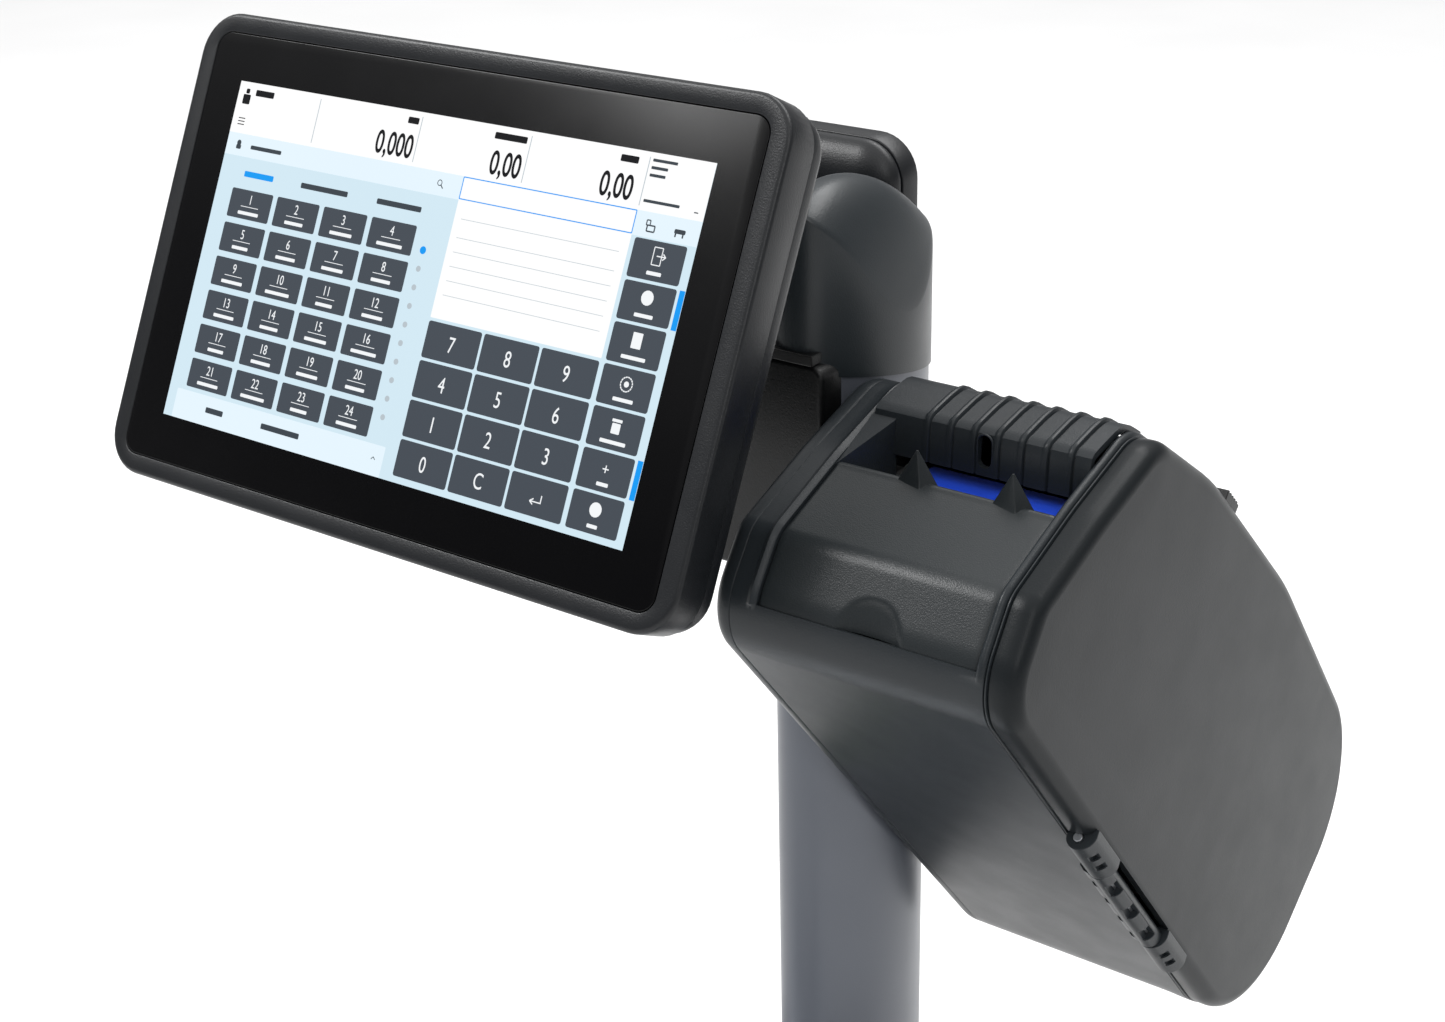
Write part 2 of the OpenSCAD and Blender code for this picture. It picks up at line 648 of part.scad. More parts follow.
module feed_motor() color(black) place() difference() {
  union() {
    along_x(chassis[1], chassis[1] + 38) translate(motor_at) pad(42, 42, 4);
    along_x(chassis[0], chassis[1] + 0.1) disc(motor_at, 11);
  }
  along_x(chassis[0] - 1, chassis[1] + 8) disc(motor_at, 2.5 + run);
}

module motor_pinion() color("white") place() {
  along_x(gear_x[0], gear_x[1]) translate(motor_at) gear_shape(pinion_teeth, mesh_angle + 180 + 180 / pinion_teeth);
  along_x(gear_x[0] - 1, chassis[1] + 6) disc(motor_at, 2.5);
}

head_span = [printer_left + 26, seam - 11];
module print_head() color(steel) place() difference() {
  union() {
    along_x(head_span[0], head_span[1]) polygon([[57, -77.7], [70, -77.7], [74, -74], [102, -74],
      [102, -71.5], [72, -71.5], [57, -73]]);
    for (x = [head_span[0], (head_span[0] + head_span[1]) / 2 - 5, head_span[1] - 10])
      along_x(x, x + 10) disc(head_at, 5);
  }
  along_x(head_span[0] - 1, head_span[1] + 1) disc(head_at, 3 + run);
}

module head_lever() color("#2048c8") place() along_x(printer_left + 45, seam - 9.5)
  polygon([[68, -67], [68, -65], [70, -64], [94, -64], [96, -65], [96, -67], [90, -71.4], [86, -71.4], [83, -67]]);

module head_shaft() color(steel) place() along_x(chassis[0], seam - 7) disc(head_at, 3);

module roll_spindle() color(steel) place() {
  along_x(chassis[0], seam - 4) disc(roll_at, 6);
  along_x(chassis[1], chassis[1] + 4) disc(roll_at, 10);
  along_x(seam - 8, seam - 4) disc(roll_at, 9);
}

module roll_holder() color("white") place() difference() {
  union() {
    along_x(printer_left + 24.5, seam - 9) disc(roll_at, 20);
    along_x(printer_left + 22.5, printer_left + 25) disc(roll_at, 34);
  }
  along_x(printer_left + 20, seam) disc(roll_at, 6 + run);
}

module label_roll() color("ivory") place() difference() {
  along_x(printer_left + 27, seam - 13) disc(roll_at, 62);
  along_x(printer_left + 26, seam - 12) disc(roll_at, 20);
}

module rewind_spindle() color(steel) place() {
  along_x(printer_left + 8, chassis[1] + 4) disc(rewind_at, 4);
  along_x(printer_left + 9, printer_left + 12) disc(rewind_at, 7);
  along_x(chassis[1] + 1, chassis[1] + 3) disc(rewind_at, 28);
  along_x(chassis[1] + 2.9, seam - 11) disc(rewind_at, 12);
}

// ---------------------------------------------------------------- door

// Local axes of the door hinge: z up along the pin from its lower end, x to the right,
// y into the body
module hinge_frame() {
  translate([hinge_at[0], hinge_at[1] - screen_ahead, hinge_at[2] + screen_h])
    rotate([90 - slope, 0, 0]) translate([0, 0, -hinge_l]) children();
}

latch_at = [190, -92];
latch_tilt = 43;
module latch_frame() {
  translate([seam + 6, latch_at[0] - screen_ahead, latch_at[1] + screen_h]) rotate([-latch_tilt, 0, 0]) children();
}

module printer_door() color(dark) place() difference() {
  union() {
    difference() {
      union() {
        along_x(seam + 0.3, seam + 7) body_shape(0);
        along_x(seam + 6.9, seam + 10.5) body_shape(1);
        along_x(seam + 10.4, door_face) body_shape(3.5);
      }
      along_x(seam, seam + 8.5) body_shape(wall);
      along_x(seam + 8, door_face - wall) body_shape(wall + 3.5);
    }
    for (z = [0, hinge_l - knuckle_l]) hinge_frame() translate([0, 0, z]) {
      cylinder(r = knuckle_r, h = knuckle_l);
      block([0, -2, 0], [6, 6, knuckle_l]);
    }
  }
  hinge_frame() {
    translate([0, 0, -1]) cylinder(r = door_pin_r + run, h = hinge_l + 2);
    block([-7, -8, knuckle_l], [8, 7.5, hinge_l - knuckle_l]);
  }
  latch_frame() block([-4.9, -8.4, -8], [3.9, 8.4, 8]);
}

module hinge_pin() color("white") place() hinge_frame() translate([0, 0, -0.8])
  cylinder(r = door_pin_r, h = hinge_l + 1.6);

module door_latch() color(dark) place() latch_frame() {
  block([-4.5, -8, -6], [3.5, 8, 3]);
  block([-4.5, -11, -7.5], [1.5, 11, -5.2]);
}

base_tray();
base_cover();
load_cell();
cell_screws();
spider();
rubber_pads();
load_plate();
column_flange();
flange_screws();
column_collar();
level_vial();
power_inlet();
port_panel();
main_board();
base_screws();
foot_front_left();
foot_front_right();
foot_back_left();
foot_back_right();
column();
head_cover();
display_arm();
column_screws();
operator_clevis();
operator_pin();
customer_clevis();
customer_pin();
operator_glass();
operator_panel();
operator_frame();
operator_rear();
operator_board();
operator_knuckle();
operator_screws();
power_button();
customer_glass();
customer_panel();
customer_frame();
customer_rear();
customer_knuckle();
printer_mount();
left_cover();
printer_housing();
chassis_plate();
rib_panel();
outlet_lid();
platen_roller();
platen_gear();
feed_motor();
motor_pinion();
print_head();
head_lever();
head_shaft();
roll_spindle();
roll_holder();
label_roll();
rewind_spindle();
printer_door();
hinge_pin();
door_latch();
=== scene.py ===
"""Looks of the retail price scale: shells, display faces, finishes, camera and light."""

import math

import bmesh
import bpy
from mathutils import Matrix, Vector


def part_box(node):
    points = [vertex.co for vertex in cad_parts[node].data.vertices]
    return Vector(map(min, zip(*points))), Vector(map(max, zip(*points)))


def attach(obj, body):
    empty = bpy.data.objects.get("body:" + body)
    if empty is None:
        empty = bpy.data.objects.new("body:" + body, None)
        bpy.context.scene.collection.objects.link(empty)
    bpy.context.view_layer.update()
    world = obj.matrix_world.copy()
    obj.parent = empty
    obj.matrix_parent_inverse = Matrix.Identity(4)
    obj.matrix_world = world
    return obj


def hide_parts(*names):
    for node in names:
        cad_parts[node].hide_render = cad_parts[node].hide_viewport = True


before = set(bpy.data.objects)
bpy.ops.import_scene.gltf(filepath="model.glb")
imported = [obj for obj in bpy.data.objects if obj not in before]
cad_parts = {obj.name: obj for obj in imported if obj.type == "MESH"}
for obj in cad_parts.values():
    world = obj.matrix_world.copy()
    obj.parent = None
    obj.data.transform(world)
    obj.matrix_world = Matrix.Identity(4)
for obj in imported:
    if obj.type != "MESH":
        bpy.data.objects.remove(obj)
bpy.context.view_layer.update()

# ------------------------------------------------------------------ places
# Shapes are written in millimetres in the design's own local frames. Each frame is a
# matrix that takes millimetres to the row frame in metres.


def shift(x, y, z):
    return Matrix.Translation((x, y, z))


def turn(degrees, axis):
    return Matrix.Rotation(math.radians(degrees), 4, axis)


def centre_of(node):
    lo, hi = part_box(node)
    return (lo + hi) / 2


POLE = centre_of("column")
POLE_FOOT, POLE_TOP = (corner.z * 1000 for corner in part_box("column"))
SCREEN_H = POLE_TOP + 20
SCREEN_AHEAD, SCREEN_LEFT = 147.3, 120
LEAN, SLOPE, LATCH_TILT = 26, 50.5, 43

MILLI = shift(POLE.x, POLE.y, 0) @ Matrix.Scale(0.001, 4)
SIDE = MILLI @ shift(0, -SCREEN_AHEAD, SCREEN_H)
OPERATOR = MILLI @ shift(-SCREEN_LEFT, -SCREEN_AHEAD, SCREEN_H) @ turn(90 - LEAN, "X")
CUSTOMER = MILLI @ shift(-SCREEN_LEFT, 80.7, SCREEN_H - 40) @ turn(180, "Z") @ turn(90, "X")

HINGE_L, KNUCKLE_L, KNUCKLE_R = 150, 33, 5.2
COVER_L, COVER_EDGE, SEAM, DOOR_FACE = 30, 39, 157, 170
WINDOW = (51.5, 152)
HINGE = SIDE @ shift(SEAM + 6, 67.2, -198) @ turn(90 - SLOPE, "X") @ shift(0, 0, -HINGE_L)
LATCH = SIDE @ shift(SEAM + 6, 190, -92) @ turn(-LATCH_TILT, "X")

# ------------------------------------------------------------------ mesh tools


def piece(name, verts, faces, local, material, body, nodes=(), slot=None, bevel=0, sharp=32, segments=3):
    """A new object from points in a local frame, riding on a body."""
    data = bpy.data.meshes.new(name)
    data.from_pydata([local @ Vector(v) for v in verts], [], faces)
    work = bmesh.new()
    work.from_mesh(data)
    bmesh.ops.delete(work, geom=[v for v in work.verts if not v.link_faces], context="VERTS")
    bmesh.ops.remove_doubles(work, verts=work.verts, dist=1e-6)
    bmesh.ops.recalc_face_normals(work, faces=work.faces)
    work.to_mesh(data)
    work.free()
    obj = bpy.data.objects.new(name, data)
    bpy.context.scene.collection.objects.link(obj)
    finish_piece(obj, material, body, nodes, slot, bevel, sharp, segments)
    return obj


def finish_piece(obj, material, body, nodes=(), slot=None, bevel=0, sharp=32, segments=3):
    obj.data.materials.clear()
    obj.data.materials.append(material)
    obj.data.shade_smooth()
    if bevel:
        round_edges(obj, bevel, sharp, segments)
    else:
        obj.data.set_sharp_from_angle(angle=math.radians(sharp))
    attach(obj, body)
    if nodes:
        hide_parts(*nodes)


def round_edges(obj, width, sharp=32, segments=3):
    mod = obj.modifiers.new("round", "BEVEL")
    mod.width = width / 1000
    mod.segments = segments
    mod.limit_method = "ANGLE"
    mod.angle_limit = math.radians(sharp)
    mod.use_clamp_overlap = False
    mod.harden_normals = True
    mod.miter_outer = "MITER_ARC"


def join(*parts):
    """Several (verts, faces) as one."""
    verts, faces = [], []
    for v, f in parts:
        faces += [tuple(i + len(verts) for i in face) for face in f]
        verts += list(v)
    return verts, faces


def loft(rings, wrap=False, caps=True):
    """Closed rings of equal count joined in order; wrap joins the last to the first."""
    n = len(rings[0])
    verts = [p for ring in rings for p in ring]
    faces = []
    last = len(rings) if wrap else len(rings) - 1
    for i in range(last):
        a, b = i * n, (i + 1) % len(rings) * n
        faces += [(a + j, a + (j + 1) % n, b + (j + 1) % n, b + j) for j in range(n)]
    if caps and not wrap:
        faces += [tuple(range(n))[::-1], tuple(range(len(verts) - n, len(verts)))]
    return verts, faces


def shell(outer, inner, keep=lambda i, j: True, closed=False):
    """A sheet with thickness from two grids of points; cells where keep is false are open."""
    rows, cols = len(outer), len(outer[0])
    count = rows * cols
    verts = [p for row in outer for p in row] + [p for row in inner for p in row]
    spans = rows if closed else rows - 1

    def kept(i, j):
        if closed:
            i %= spans
        return 0 <= i < spans and 0 <= j < cols - 1 and keep(i, j)

    def at(i, j):
        return i % rows * cols + j

    faces = []
    for i in range(spans):
        for j in range(cols - 1):
            if not kept(i, j):
                continue
            a, b, c, d = at(i, j), at(i + 1, j), at(i + 1, j + 1), at(i, j + 1)
            faces += [(a, b, c, d), (d + count, c + count, b + count, a + count)]
            for p, q, next_to in ((a, b, (i, j - 1)), (b, c, (i + 1, j)), (c, d, (i, j + 1)), (d, a, (i - 1, j))):
                if not kept(*next_to):
                    faces.append((q, p, p + count, q + count))
    return verts, faces


def box(low, high):
    x0, y0, z0 = low
    x1, y1, z1 = high
    return loft([[(x0, y0, z), (x1, y0, z), (x1, y1, z), (x0, y1, z)] for z in (z0, z1)])


def rod(radius, z0, z1, edge=0.4, steps=40):
    """A cylinder along z with rounded rims."""
    rings = [(radius - edge, z0), (radius - edge * 0.3, z0 + edge * 0.3), (radius, z0 + edge),
             (radius, z1 - edge), (radius - edge * 0.3, z1 - edge * 0.3), (radius - edge, z1)]
    return loft([circle(r, z, steps) for r, z in rings])


def circle(radius, z, steps=40):
    return [(radius * math.cos(a), radius * math.sin(a), z) for a in
            (math.tau * k / steps for k in range(steps))]


def moved(shape, matrix):
    verts, faces = shape
    return [matrix @ Vector(v) for v in verts], faces


def carve(obj, cutters, local):
    """Cuts closed shapes out of a piece and keeps the result as its mesh."""
    data = bpy.data.meshes.new("cutters")
    verts, faces = join(*cutters)
    data.from_pydata([local @ Vector(v) for v in verts], [], faces)
    work = bmesh.new()
    work.from_mesh(data)
    bmesh.ops.recalc_face_normals(work, faces=work.faces)
    work.to_mesh(data)
    work.free()
    tool = bpy.data.objects.new("cutters", data)
    bpy.context.scene.collection.objects.link(tool)
    for m in obj.modifiers:
        m.show_viewport = False
    mod = obj.modifiers.new("carve", "BOOLEAN")
    mod.operation, mod.solver, mod.object, mod.use_self = "DIFFERENCE", "EXACT", tool, True
    obj.modifiers.move(len(obj.modifiers) - 1, 0)
    cut = bpy.data.meshes.new_from_object(obj.evaluated_get(bpy.context.evaluated_depsgraph_get()))
    obj.modifiers.remove(obj.modifiers["carve"])
    for m in obj.modifiers:
        m.show_viewport = True
    obj.data = cut
    obj.data.shade_smooth()
    if not obj.modifiers:
        obj.data.set_sharp_from_angle(angle=math.radians(32))
    bpy.data.objects.remove(tool)


# ------------------------------------------------------------------ outlines


def unit(x, y):
    size = math.hypot(x, y)
    return x / size, y / size


def inner_corner(pts, i, d):
    q = pts[i]
    a = unit(pts[i - 1][0] - q[0], pts[i - 1][1] - q[1])
    after = pts[(i + 1) % len(pts)]
    b = unit(after[0] - q[0], after[1] - q[1])
    half = math.acos(a[0] * b[0] + a[1] * b[1]) / 2
    m = unit(a[0] + b[0], a[1] + b[1])
    return q[0] + m[0] * d / math.sin(half), q[1] + m[1] * d / math.sin(half)


def fillet(p, q, s, r, step=3.0):
    a, b = unit(p[0] - q[0], p[1] - q[1]), unit(s[0] - q[0], s[1] - q[1])
    half = math.acos(a[0] * b[0] + a[1] * b[1]) / 2
    m = unit(a[0] + b[0], a[1] + b[1])
    centre = q[0] + m[0] * r / math.sin(half), q[1] + m[1] * r / math.sin(half)
    start = q[0] + a[0] * r / math.tan(half) - centre[0], q[1] + a[1] * r / math.tan(half) - centre[1]
    swing = (math.pi - 2 * half) * math.copysign(1, -a[0] * b[1] + a[1] * b[0])
    steps = max(3, math.ceil(abs(math.degrees(swing)) / step))
    out = []
    for k in range(steps + 1):
        c, n = math.cos(swing * k / steps), math.sin(swing * k / steps)
        out.append((centre[0] + start[0] * c - start[1] * n, centre[1] + start[0] * n + start[1] * c))
    return out


OUTLINE = [(17, -70.5, 16), (62, -52.5, 150), (112, -36.5, 25), (168, -74.5, 150), (255, -156, 200),
           (349, -270, 65), (349, -326, 60), (241, -407, 70), (-7.5, -105.5, 28)]


def side_outline(d=0, least=2.0):
    """The printer's side outline moved inwards by d, as (back, up) from the screen's centre."""
    corners = [inner_corner(OUTLINE, i, d) for i in range(len(OUTLINE))]
    out = []
    for i, (_, _, r) in enumerate(OUTLINE):
        out += fillet(corners[i - 1], corners[i], corners[(i + 1) % len(OUTLINE)], max(r - d, least))
    return out


def rounded_box(w, h, r, z, steps=8):
    """A ring: a centred rectangle with round corners, at height z."""
    out = []
    for cx, cy, start in ((1, 1, 0), (-1, 1, 90), (-1, -1, 180), (1, -1, 270)):
        for k in range(steps + 1):
            a = math.radians(start + 90 * k / steps)
            out.append((cx * (w / 2 - r) + r * math.cos(a), cy * (h / 2 - r) + r * math.sin(a), z))
    return out


def soft_slab(w, h, r, z0, z1, edge=1.0, top_edge=None, steps=8):
    """A rounded plate whose rims are rounded too."""
    top_edge = edge if top_edge is None else top_edge
    rings = []
    for z, e, way in ((z0, edge, 1), (z1, top_edge, -1)):
        part = [rounded_box(w - 2 * e * (1 - math.sin(a)), h - 2 * e * (1 - math.sin(a)),
                            max(r - e * (1 - math.sin(a)), 0.05), z + way * e * (1 - math.cos(a)), steps)
                for a in (math.radians(q) for q in (0, 22, 45, 67, 90))]
        rings += part if way == 1 else part[::-1]
    return loft(rings)


def pole_ring(grow, z, steps=20):
    """The column's oval of four arcs, grown outwards."""
    a, b, r = 28 + grow, 48.4 + grow, 18 + grow
    side = (28 ** 2 + 48.4 ** 2 - 2 * 48.4 * 18) / (2 * (28 - 18)) + grow
    bound = math.asin((48.4 - 18) / (side - r))
    out = []
    for cx, cy, radius, a0, a1 in (
            (a - side, 0, side, -bound, bound), (0, b - r, r, bound, math.pi - bound),
            (side - a, 0, side, math.pi - bound, math.pi + bound),
            (0, r - b, r, math.pi + bound, math.tau - bound)):
        out += [(cx + radius * math.cos(t), cy + radius * math.sin(t), z) for t in
                (a0 + (a1 - a0) * k / steps for k in range(steps))]
    return out


# ------------------------------------------------------------------ materials


def new_material(name):
    mat = bpy.data.materials.new(name)
    mat.use_nodes = True
    nodes = mat.node_tree.nodes
    shader = next(n for n in nodes if n.type == "BSDF_PRINCIPLED")
    return mat, nodes, mat.node_tree.links, shader


def noise(nodes, links, coords, scale, detail=3.0, stretch=None):
    tex = nodes.new("ShaderNodeTexNoise")
    tex.inputs["Scale"].default_value = scale
    tex.inputs["Detail"].default_value = detail
    source = coords.outputs["Object"]
    if stretch:
        mapping = nodes.new("ShaderNodeMapping")
        mapping.inputs["Scale"].default_value = stretch
        links.new(source, mapping.inputs["Vector"])
        source = mapping.outputs["Vector"]
    links.new(source, tex.inputs["Vector"])
    return tex


def spread(nodes, links, value, low, high, target, start=0.3, end=0.7):
    """Maps a texture onto a range of values or colours and links it."""
    if isinstance(low, tuple):
        ramp = nodes.new("ShaderNodeValToRGB")
        ramp.color_ramp.elements[0].position, ramp.color_ramp.elements[1].position = start, end
        ramp.color_ramp.elements[0].color, ramp.color_ramp.elements[1].color = (*low, 1), (*high, 1)
        links.new(value, ramp.inputs["Fac"])
        links.new(ramp.outputs["Color"], target)
    else:
        span = nodes.new("ShaderNodeMapRange")
        for key, number in (("From Min", start), ("From Max", end), ("To Min", low), ("To Max", high)):
            span.inputs[key].default_value = number
        links.new(value, span.inputs["Value"])
        links.new(span.outputs["Result"], target)


def hex_colour(code, gain=1.0):
    values = [int(code[k:k + 2], 16) / 255 for k in (1, 3, 5)]
    return tuple(gain * (v / 12.92 if v <= 0.04045 else ((v + 0.055) / 1.055) ** 2.4) for v in values)


def surface(name, colour, rough, grain=0.0, grain_scale=900, metal=0.0, vary=0.12, specular=0.5,
            stretch=None, coat=0.0, coat_rough=0.3, wear=0.0, anisotropy=0.0):
    """A moulded, painted or metal surface: tone varies slowly, gloss varies finely, grain is bumped,
    and wear lightens the convex edges."""
    mat, nodes, links, shader = new_material(name)
    coords = nodes.new("ShaderNodeTexCoord")
    base = hex_colour(colour)
    tone = noise(nodes, links, coords, 9.0, 4.0)
    dark, light = tuple(c * (1 - vary) for c in base), tuple(c * (1 + vary) for c in base)
    if wear:
        ramp = nodes.new("ShaderNodeValToRGB")
        ramp.color_ramp.elements[0].color, ramp.color_ramp.elements[1].color = (*dark, 1), (*light, 1)
        links.new(tone.outputs["Fac"], ramp.inputs["Fac"])
        geometry = nodes.new("ShaderNodeNewGeometry")
        edge = nodes.new("ShaderNodeMapRange")
        for key, number in (("From Min", 0.51), ("From Max", 0.6), ("To Min", 0.0), ("To Max", wear)):
            edge.inputs[key].default_value = number
        links.new(geometry.outputs["Pointiness"], edge.inputs["Value"])
        mix = nodes.new("ShaderNodeMix")
        mix.data_type = "RGBA"
        mix.inputs["B"].default_value = (*(min(1, c * 2.2 + 0.02) for c in base), 1)
        links.new(edge.outputs["Result"], mix.inputs["Factor"])
        links.new(ramp.outputs["Color"], mix.inputs["A"])
        links.new(mix.outputs["Result"], shader.inputs["Base Color"])
    else:
        spread(nodes, links, tone.outputs["Fac"], dark, light, shader.inputs["Base Color"])
    smear = noise(nodes, links, coords, 45.0 if not stretch else 60.0, 5.0, stretch)
    spread(nodes, links, smear.outputs["Fac"], rough * 0.93, rough * 1.07, shader.inputs["Roughness"])
    shader.inputs["Metallic"].default_value = metal
    shader.inputs["Specular IOR Level"].default_value = specular
    shader.inputs["Coat Weight"].default_value = coat
    shader.inputs["Coat Roughness"].default_value = coat_rough
    shader.inputs["Anisotropic"].default_value = anisotropy
    if grain:
        fine = noise(nodes, links, coords, grain_scale, 2.0, stretch)
        bump = nodes.new("ShaderNodeBump")
        bump.inputs["Strength"].default_value = grain
        bump.inputs["Distance"].default_value = 0.0002
        links.new(fine.outputs["Fac"], bump.inputs["Height"])
        links.new(bump.outputs["Normal"], shader.inputs["Normal"])
    return mat


def glow(name, colour, strength):
    """A lit screen area under glass: its light varies by a faint backlight unevenness."""
    mat, nodes, links, shader = new_material(name)
    coords = nodes.new("ShaderNodeTexCoord")
    cloud = noise(nodes, links, coords, 6.0, 2.0)
    base = hex_colour(colour)
    low, high = tuple(c * 0.985 for c in base), tuple(min(1, c * 1.01) for c in base)
    spread(nodes, links, cloud.outputs["Fac"], low, high, shader.inputs["Emission Color"])
    shader.inputs["Base Color"].default_value = (0.004, 0.004, 0.005, 1)
    shader.inputs["Roughness"].default_value = 0.12
    shader.inputs["Emission Strength"].default_value = strength
    shader.inputs["Specular IOR Level"].default_value = 0.15
    return mat


PLASTIC = surface("moulded_dark", "#212528", 0.34, grain=0.4, grain_scale=1500, vary=0.04, specular=0.24)
# The door is the housing's moulded plastic made darker and given weaker reflections: painted shade for its face,
# which turns away from the light.
DOOR_PAINTED_SHADE = surface("moulded_door_painted_shade", "#191c1e", 0.33, grain=0.3, grain_scale=1500, vary=0.03, specular=0.12)
PANEL = surface("moulded_lid", "#1f2325", 0.31, grain=0.4, grain_scale=1700, vary=0.04, specular=0.34)
ANTHRACITE = surface("head_plastic", "#22272a", 0.34, grain=0.3, grain_scale=1500, vary=0.04, specular=0.4)
BEZEL = surface("bezel_plastic", "#111316", 0.36, grain=0.45, grain_scale=1500, vary=0.06, specular=0.35)
BLACK = surface("black_plastic", "#08090a", 0.4, grain=0.5, grain_scale=1200, vary=0.08, specular=0.3)
INNER = surface("inner_black", "#060607", 0.6, grain=0.4, grain_scale=900, specular=0.2)
GLASS = surface("screen_glass", "#020203", 0.2, vary=0.05, specular=0.16)
SLATE = surface("slate_paint", "#5c6068", 0.34, grain=0.2, grain_scale=1800, metal=0.2, vary=0.03)
BRUSHED = surface("brushed_steel", "#b9bcc0", 0.28, grain=0.35, grain_scale=700, metal=1.0, vary=0.06,
                  stretch=(1, 26, 26), anisotropy=0.6)
STEEL = surface("steel", "#b2b5b9", 0.32, grain=0.15, grain_scale=900, metal=1.0, vary=0.08)
ZINC = surface("zinc", "#9fa4a8", 0.4, grain=0.25, grain_scale=500, metal=1.0, vary=0.12)
ALUMINIUM = surface("aluminium", "#c2c5c8", 0.35, grain=0.2, grain_scale=800, metal=1.0, vary=0.05,
                    stretch=(1, 1, 20))
CAST = surface("cast_bracket", "#575b61", 0.5, grain=0.6, grain_scale=500, metal=0.3, vary=0.08)
RUBBER = surface("rubber", "#101112", 0.75, grain=0.8, grain_scale=700, vary=0.2, specular=0.3)
BLUE = surface("lever_blue", "#1f49cf", 0.38, grain=0.3, grain_scale=1100, vary=0.06)
BOARD = surface("board_green", "#0d4a2c", 0.35, grain=0.5, grain_scale=260, vary=0.3, coat=0.5)
CREAM = surface("gear_white", "#e4e2da", 0.42, grain=0.15, grain_scale=900, vary=0.04)
VIAL = surface("vial_liquid", "#a9dc3a", 0.08, vary=0.08, coat=1.0, coat_rough=0.03)


def paper_material():
    """Wound label paper: the turns show as fine rings on the ends and the liner's sheen round it."""
    mat, nodes, links, shader = new_material("label_paper")
    coords = nodes.new("ShaderNodeTexCoord")
    mapping = nodes.new("ShaderNodeMapping")
    mapping.inputs["Location"].default_value = -(SIDE @ Vector((0, 238, -262)))
    links.new(coords.outputs["Object"], mapping.inputs["Vector"])
    turns = nodes.new("ShaderNodeTexWave")
    turns.wave_type, turns.rings_direction = "RINGS", "X"
    turns.inputs["Scale"].default_value = 260
    turns.inputs["Distortion"].default_value = 0.4
    turns.inputs["Detail"].default_value = 2.0
    links.new(mapping.outputs["Vector"], turns.inputs["Vector"])
    spread(nodes, links, turns.outputs["Fac"], hex_colour("#d8d4c6"), hex_colour("#f2efe6"),
           shader.inputs["Base Color"], 0.1, 0.9)
    fine = noise(nodes, links, coords, 400, 4.0)
    spread(nodes, links, fine.outputs["Fac"], 0.6, 0.8, shader.inputs["Roughness"])
    bump = nodes.new("ShaderNodeBump")
    bump.inputs["Strength"].default_value = 0.4
    bump.inputs["Distance"].default_value = 0.0002
    links.new(turns.outputs["Fac"], bump.inputs["Height"])
    links.new(bump.outputs["Normal"], shader.inputs["Normal"])
    return mat


PAPER = paper_material()

# ------------------------------------------------------------------ CAD nodes that stay

CAD_FINISH = {
    BLACK: ["power_inlet", "power_button"],
    PLASTIC: ["base_cover", "base_tray", "column_collar"],
    RUBBER: ["rubber_pads", "platen_roller", "foot_front_left", "foot_front_right", "foot_back_left",
             "foot_back_right"],
    STEEL: ["spider", "column_screws", "cell_screws", "flange_screws", "base_screws", "operator_pin",
            "customer_pin", "operator_screws", "port_panel", "head_shaft", "roll_spindle", "hinge_pin",
            "rewind_spindle"],
    ZINC: ["column_flange", "chassis_plate"],
    ALUMINIUM: ["load_cell", "print_head"],
    CAST: ["operator_clevis", "customer_clevis", "operator_knuckle", "customer_knuckle", "printer_mount"],
    BOARD: ["main_board", "operator_board"],
    CREAM: ["platen_gear", "motor_pinion", "roll_holder"],
    BLUE: ["head_lever"],
    INNER: ["operator_panel", "customer_panel", "feed_motor"],
    VIAL: ["level_vial"],
}
EDGE = {"base_cover": 1.6, "base_tray": 0.8, "column_collar": 1.0, "power_button": 0.5, "printer_mount": 1.0,
        "operator_knuckle": 0.8, "customer_knuckle": 0.8, "operator_clevis": 0.8, "customer_clevis": 0.8,
        "load_cell": 0.6, "head_lever": 0.5, "print_head": 0.4, "spider": 0.6, "power_inlet": 0.5}


def dress(node, material):
    """Finish of a CAD node: its flat faces are merged and its edges softened by modifiers."""
    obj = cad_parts[node]
    obj.data.materials.clear()
    obj.data.materials.append(material)
    custom = obj.data.attributes.get("custom_normal")
    if custom:
        obj.data.attributes.remove(custom)
    obj.data.shade_smooth()
    weld = obj.modifiers.new("weld", "WELD")
    weld.merge_threshold = 2e-6
    flat = obj.modifiers.new("flat", "DECIMATE")
    flat.decimate_type, flat.angle_limit = "DISSOLVE", math.radians(0.6)
    round_edges(obj, EDGE.get(node, 0.25), 34, 2)


for finish_material, names in CAD_FINISH.items():
    for cad_name in names:
        dress(cad_name, finish_material)

# ------------------------------------------------------------------ printer


def crossing(points, axis, value, rising):
    """Index just after the point where the outline passes value on an axis."""
    for i in range(len(points)):
        p, q = points[i - 1], points[i]
        if (p[axis] < value <= q[axis]) if rising else (p[axis] > value >= q[axis]):
            return i
    raise ValueError("the outline never passes that value")


def body_grid():
    """Outer and inner side outlines with points put in at the window's two ends."""
    outer, inner = side_outline(0), side_outline(2.5)
    start = crossing(outer, 1, -96.2, True)
    cuts = []
    for at, axis, value in ((start, 1, -96.2), (crossing(outer, 0, 128, True), 0, 128)):
        p, q = outer[at - 1], outer[at]
        t = (value - p[axis]) / (q[axis] - p[axis])
        cuts.append((at, t))
    for at, t in sorted(cuts, reverse=True):
        for line in (outer, inner):
            p, q = line[at - 1], line[at]
            line.insert(at, (p[0] + (q[0] - p[0]) * t, p[1] + (q[1] - p[1]) * t))
    first = min(range(len(outer)), key=lambda i: abs(outer[i][1] + 96.2) + (outer[i][0] > 60) * 999)
    outer, inner = outer[first:] + outer[:first], inner[first:] + inner[:first]
    last = min(range(len(outer)), key=lambda i: abs(outer[i][0] - 128) + (outer[i][1] < -90) * 999)
    return outer, inner, last


OUTER, INNER_LINE, WINDOW_END = body_grid()
N_SIDE = len(OUTER)


